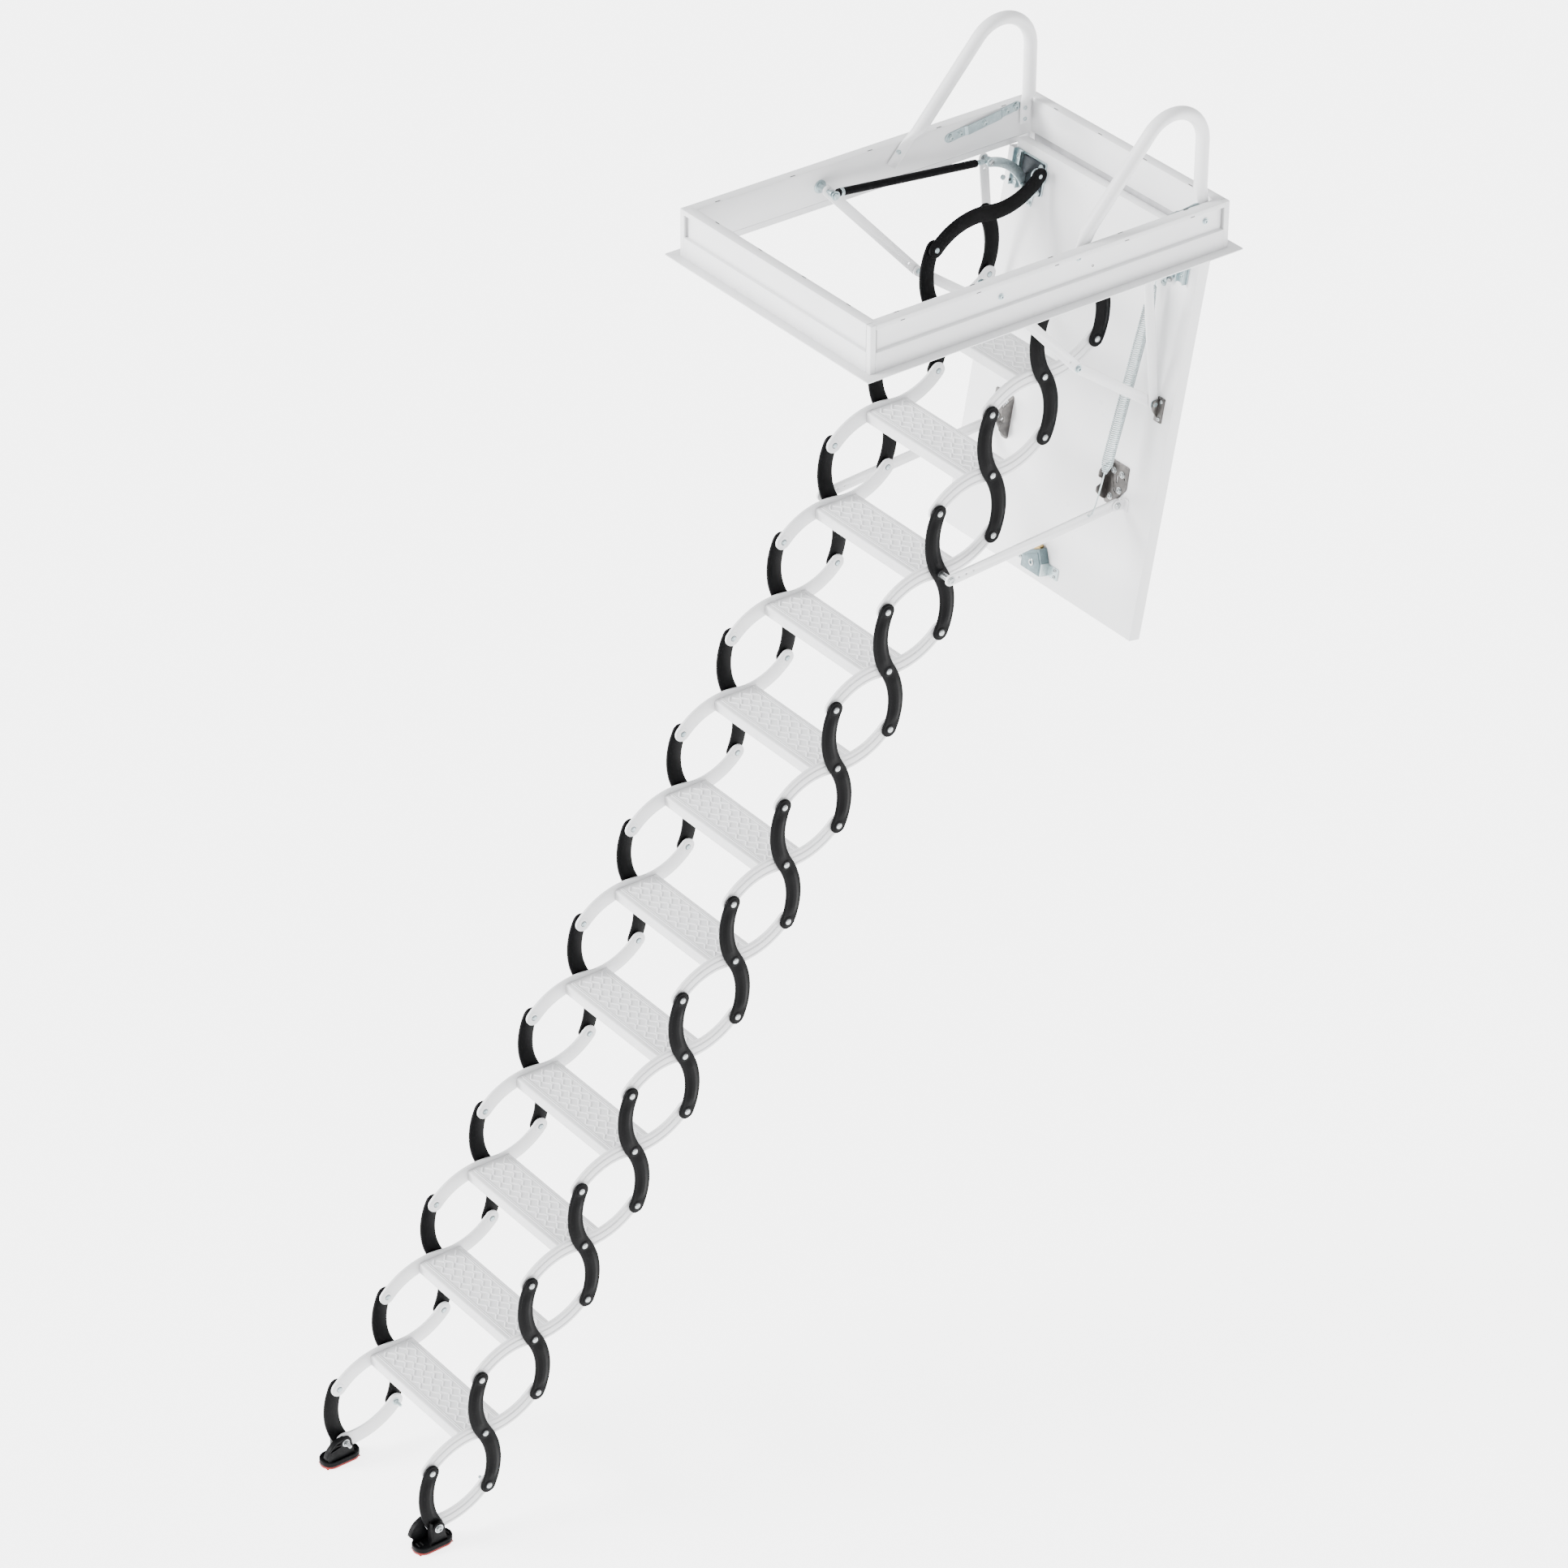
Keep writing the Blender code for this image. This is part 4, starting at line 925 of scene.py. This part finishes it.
def build_latch():
    latch, outward = Sculpt(), (0, *OFF)
    low, high, slope = 0.9436, 0.885, 0.904
    front = [(-0.036, low), (0.036, low), (0.036, slope + 0.004), (0.02, high - 0.008), (-0.036, slope)]
    latch.plate([rounded(front, 0.003)], 0.0, 0.024, 0, 0.0014, ON_HATCH)
    latch.plate([rounded([(-0.03, low - 0.006), (0.03, low - 0.006), (0.03, slope + 0.009), (0.017, high + 0.002),
            (-0.03, slope + 0.008)], 0.003)], 0.023, 0.0252, 0, 0.0007, ON_HATCH)
    latch.box((0.034, slope + 0.006, 0.0), (0.0375, low - 0.001, 0.024), 1, 0.0008, ON_HATCH)
    for sx in (-1, 1):
        xs = span(sx, 0.034, 0.074)
        latch.plate([rounded([(xs[0], slope + 0.008), (xs[1], slope + 0.008), (xs[1], low - 0.002),
                (xs[0], low - 0.002)], 0.004)], -0.0005, 0.0024, 1, 0.0006, ON_HATCH)
        for down in (slope + 0.014, low - 0.009):
            latch.bolt(side_point(sx * 0.062, down, 0.0024), outward, 2, 0.0042, 0.0028, False)
    latch.box((-0.01, high - 0.012, 0.004), (0.012, high + 0.012, 0.015), 3, 0.0018, ON_HATCH)
    latch.lathe(side_point(0.001, high + 0.034, 0.025), outward, mm((8.5, -1), (8.5, 1.2), (7, 2), (4.5, 2), (4, -1)),
            2, 24)
    piece("hatch_latch", latch.mesh("latch", [SLATE, DRAWN, STEEL, BRASS]), "hatch")


def build_spring():
    """Long coil spring on the right, hooked to the hatch at the top and to the ladder's catch at the bottom."""
    x = 0.25
    start, end, hook = side_point(x, 0.1106, 0.034), side_point(x, 0.5706, 0.083), side_point(x, 0.0306, 0.0245)
    axis = (end - start).normalized()
    across = Vector((1, 0, 0))
    other = axis.cross(across)
    length, turns, coil, wire = (end - start).length, 92, 0.0128, 0.0016
    path, steps = [], turns * 12
    for k in range(steps + 1):
        t = k / steps
        angle = 2 * math.pi * turns * t
        r = coil * min(1.0, 0.3 + 6 * t, 0.35 + 14 * (1 - t))
        path.append(start + axis * length * t + r * (math.cos(angle) * across + math.sin(angle) * other))
    shape = Sculpt()
    shape.tube(path, wire, 0, 6)
    shape.tube([hook, side_point(x, 0.06, 0.0275), side_point(x, 0.1, 0.0325), start + 0.004 * axis], 0.0017, 0, 8)
    shape.tube([end - 0.004 * axis, side_point(x, 0.6, 0.0862), side_point(x, 0.65, 0.0925),
            side_point(x, 0.672, 0.099), side_point(0.247, 0.68, 0.104), side_point(0.243, 0.676, 0.1085)], 0.0017, 0,
            8)
    item = piece("tension_spring", shape.mesh("spring", [DRAWN]), "hatch")
    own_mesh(item)


# ---------------------------------------------------------------- stays, struts and support bars
def build_stays():
    low = hatch_point(*STAY_HATCH)
    upper = Sculpt()
    along = (STAY_ELBOW - STAY_FRAME).normalized()
    upper.plate([stadium(STAY_FRAME, STAY_ELBOW, 0.0125), circle(STAY_ELBOW - 0.033 * along, 0.0032)], *STAY_OUTER, 0,
            0.001)
    upper.bolt((STAY_OUTER[1], *STAY_FRAME), RIGHT, 1, 0.007, 0.0045, True, True)
    upper.bolt((STAY_OUTER[1], *STAY_ELBOW), RIGHT, 1, 0.0066, 0.0045)
    upper.lathe((0.284, *STAY_ELBOW), RIGHT, mm((4, 0), (6.6, 1.2), (6.6, 2.3), (4.5, 2.5), (4.5, 13)), 1, 20)
    pair("stay_upper_arm", upper, [WHITE, ZINC], "stay_upper_arms", "stay_upper_arm")
    lower = Sculpt()
    lower.plate([stadium(STAY_ELBOW, low, 0.0125), circle(low, 0.0062)], *STAY_INNER, 0, 0.001)
    pair("stay_lower_arm", lower, [WHITE], "stay_lower_arms", "stay_lower_arm")


def build_struts():
    tip = hatch_point(*LEVER_TIP)
    along = Vector((0, *(tip - STAY_FRAME))).normalized()
    start, end = Vector((STRUT_X, *STAY_FRAME)), Vector((STRUT_X, *tip))
    length = (end - start).length
    tube = Sculpt()
    tube.lathe(start, along, [(0.006, 0.012), (0.0085, 0.014), (0.0095, 0.018), (0.0095, length - 0.042),
            (0.0088, length - 0.038), (0.0082, length - 0.036), (0.0056, length - 0.036), (0.0056, length - 0.06)], 0,
            28)
    tube.lathe(start, RIGHT, mm((6, -5.5), (8.8, -4.5), (8.8, 4.5), (6, 5.5)), 1, 24)
    tube.lathe(start, along, mm((4.2, 0), (4.2, 12.5), (7, 13), (7, 16.5), (5, 17)), 1, 20)
    tube.lathe(start, along, mm((9.7, 22), (10, 22.5), (10, 30), (9.7, 30.5)), 1, 28)
    tube.lathe(start, along, [(0.009, length - 0.0375), (0.0074, length - 0.0355), (0.005, length - 0.035)], 1, 28)
    pair("strut_tube", tube, [BLACK, ZINC], "strut_tubes", "strut_tube")
    rod = Sculpt()
    rod.lathe(start, along, [(0.003, 0.055), (0.0042, 0.056), (0.0042, length - 0.013)], 1, 20)
    rod.lathe(start, along, [(0.0042, length - 0.03), (0.0068, length - 0.0295), (0.0068, length - 0.018),
            (0.0052, length - 0.0165), (0.0052, length - 0.01), (0.0046, length - 0.008)], 0, 6)
    rod.lathe(end, RIGHT, mm((6.2, -5), (9.8, -4.2), (10.2, 0), (9.8, 4.2), (6.2, 5)), 0, 28)
    pair("strut_rod", rod, [ZINC, DRAWN], "strut_rods", "strut_rod")


def build_support_bars():
    top, bottom = hatch_point(*BAR_PIVOT), crossing(BAR_STAGE)
    along = (top - bottom).normalized()
    bar = Sculpt()
    holes = [circle(top, 0.0062, 20)] + [circle(bottom + d * along, 0.0026, 12) for d in (0.023, 0.044, 0.065)]
    bar.plate([stadium(top, bottom, 0.014)] + holes, *BAR_SHEET, 0, 0.0012)
    bar.lathe((BAR_SHEET[1], *bottom), RIGHT, mm((10.5, -1), (10.5, 1), (9.5, 1.6), (8, 1.6), (7.8, 3), (6.6, 4.2),
            (4, 4.4), (3, 3), (0.4, 2.9)), 1, 28)
    pair("support_bar", bar, [WHITE, STEEL], "support_bars", "support_bar")


# ---------------------------------------------------------------- feet
def foot_shape():
    """Right shoe about its pivot: dished round-ended pad on a red ribbed sole, an ear, a curved fin and the bolt."""
    sole, middle, reach, half_length, centre = -0.058, 0.197, 0.027, 0.0525, -0.0075
    shape = Sculpt()
    run = half_length - reach

    def ring(rise, grow):
        outline = stadium((middle, centre - run), (middle, centre + run), reach + grow, 14)
        return [(p.x, p.y, sole + rise) for p in outline]

    shape.loft([ring(*level) for level in mm((6.8, -2.6), (7.6, -0.6), (11, 0), (12, -1.2), (13, 0), (17.6, -0.2),
            (19.2, -1), (19.8, -2.4), (19.2, -4), (15.5, -5.2))], 0)
    shape.loft([ring(*level) for level in mm((0.6, -2.2), (1.2, -1), (6, -0.6), (7, -3))], 1)
    for k in range(9):
        y = centre + (k - 4) * 0.0112
        shape.box((middle - 0.02, y - 0.0024, sole), (middle + 0.02, y + 0.0024, sole + 0.0016), 1, 0.0006, steps=1)
    pad_top = sole + 0.0145
    ear = [Vector((-0.024, pad_top)), Vector((0.024, pad_top)), Vector((0.0175, -0.018))]
    ear += [0.017 * unit(180.0 * k / 16) for k in range(17)] + [Vector((-0.0175, -0.018))]
    shape.plate([ear], 0.2085, 0.2175, 0, 0.0014)
    shape.plate([rounded([(-0.0205, 0.0205), (-0.0205, pad_top), (-0.0165, pad_top), (-0.0165, 0.0205)], 0.001)],
            0.199, 0.2165, 0, 0.0008)
    hub = Vector((-0.01, -0.0305))
    web = [hub + 0.0486 * unit(90.0 + 78.0 * k / 16) for k in range(17)]
    web += [Vector((-0.045, pad_top)), Vector((0.024, pad_top)), Vector((0.017, 0.0))]
    web += [0.017 * unit(d) for d in (25.0, 50.0, 72.0)]
    shape.plate([web], 0.1768, 0.1842, 0, 0.0012)
    lip = [hub + 0.05 * unit(84.0 + 86.0 * k / 18) for k in range(19)]
    lip += [hub + 0.0448 * unit(170.0 - 86.0 * k / 18) for k in range(19)]
    shape.plate([lip], 0.1712, 0.1854, 0, 0.0012)
    for degrees, far in ((170.0, 0.032), (192.0, 0.048)):
        heading, across = unit(degrees), 0.0014 * unit(degrees + 90.0)
        rib = [0.016 * heading - across, far * heading - across, far * heading + across, 0.016 * heading + across]
        shape.plate([rib], 0.173, 0.1775, 0, 0.0005)
    for y in (-0.046, -0.036, 0.026, 0.034):
        shape.box((0.1885, y - 0.002, pad_top), (0.206, y + 0.002, pad_top + 0.0042), 0, 0.0008, steps=1)
    shape.bolt((0.2172, 0, 0), RIGHT, 2, 0.0078, 0.005, True, False)
    inner_face = (0.1772, 0, 0)
    shape.lathe(inner_face, INWARDS, mm((9.8, -1), (9.8, 1), (9, 1.4), (4, 1.4)), 2, 24)
    shape.lathe(inner_face, INWARDS, mm((7.8, 1), (7.8, 6), (7, 6.8), (3.6, 6.9)), 2, 6)
    shape.lathe(inner_face, INWARDS, threads(0.0042, 0.0064, 17, (0.0028, 0.0204)), 2, 16)
    return shape


def build_feet():
    pair("foot", foot_shape(), [PLASTIC, RUBBER, STEEL], "feet", "foot", crossing(0))


# ---------------------------------------------------------------- stage
def build_stage():
    """Large pale floor that glows a little, and an even sky."""
    mesh = bpy.data.meshes.new("floor")
    size, floor_glow, sky_glow = 60.0, 3.2, 1.15
    mesh.from_pydata([(-size, -size, 0), (size, -size, 0), (size, size, 0), (-size, size, 0)], [], [(0, 1, 2, 3)])
    n = Nodes("studio_floor")
    at = n.place()
    n.fill(n.shader, Base_Color=n.mix(n.noise(at, 0.4, 2.0), (0.94, 0.94, 0.94), (0.96, 0.96, 0.96)), Roughness=0.75,
            Specular_IOR_Level=0.15, Emission_Color=(1.0, 1.0, 1.0, 1.0), Emission_Strength=floor_glow)
    mesh.materials.append(n.material)
    floor = bpy.data.objects.new("floor", mesh)
    floor.location = (0, 0, FLOOR_Z - 0.0006)
    bpy.context.scene.collection.objects.link(floor)
    world = bpy.data.worlds.new("studio")
    world.use_nodes = True
    backdrop = world.node_tree.nodes["Background"]
    backdrop.inputs["Color"].default_value = (0.98, 0.99, 1.0, 1.0)
    backdrop.inputs["Strength"].default_value = sky_glow
    bpy.context.scene.world = world


def add_sun(name, towards, strength, spread):
    """Very soft distant light that shines along a direction."""
    data = bpy.data.lights.new(name, "SUN")
    data.energy = strength
    data.angle = math.radians(spread)
    item = bpy.data.objects.new(name, data)
    item.rotation_euler = Vector(towards).to_track_quat("-Z", "Y").to_euler()
    bpy.context.scene.collection.objects.link(item)


CAMERA_VIEW_DEG, CAMERA_AT = 14.968, (9.3154, -8.0267, 6.1697)


def add_camera():
    """Long-lens camera, above and in front of the right-hand side."""
    data = bpy.data.cameras.new("camera")
    data.sensor_fit = "HORIZONTAL"
    data.angle = math.radians(CAMERA_VIEW_DEG)
    data.clip_end = 200.0
    item = bpy.data.objects.new("camera", data)
    right, up, back = (0.60033, 0.79973, 0.0059), (-0.43291, 0.31875, 0.8432), (0.67245, -0.50875, 0.53757)
    item.matrix_world = columns(right, up, back, CAMERA_AT)
    bpy.context.scene.collection.objects.link(item)
    bpy.context.scene.camera = item


build_stage()
add_camera()
add_sun("key", (0.42, 0.8, -0.43), 7.5, 24.0)
add_sun("top", (-0.35, 0.1, -0.93), 1.4, 60.0)

build_frame()
build_frame_fittings()
build_handrails()
build_hatch()
build_hatch_fittings()
build_latch()
build_spring()
build_stays()
build_struts()
build_support_bars()
build_top_links()
build_cross_links()
build_steps()
build_base_links()
build_feet()
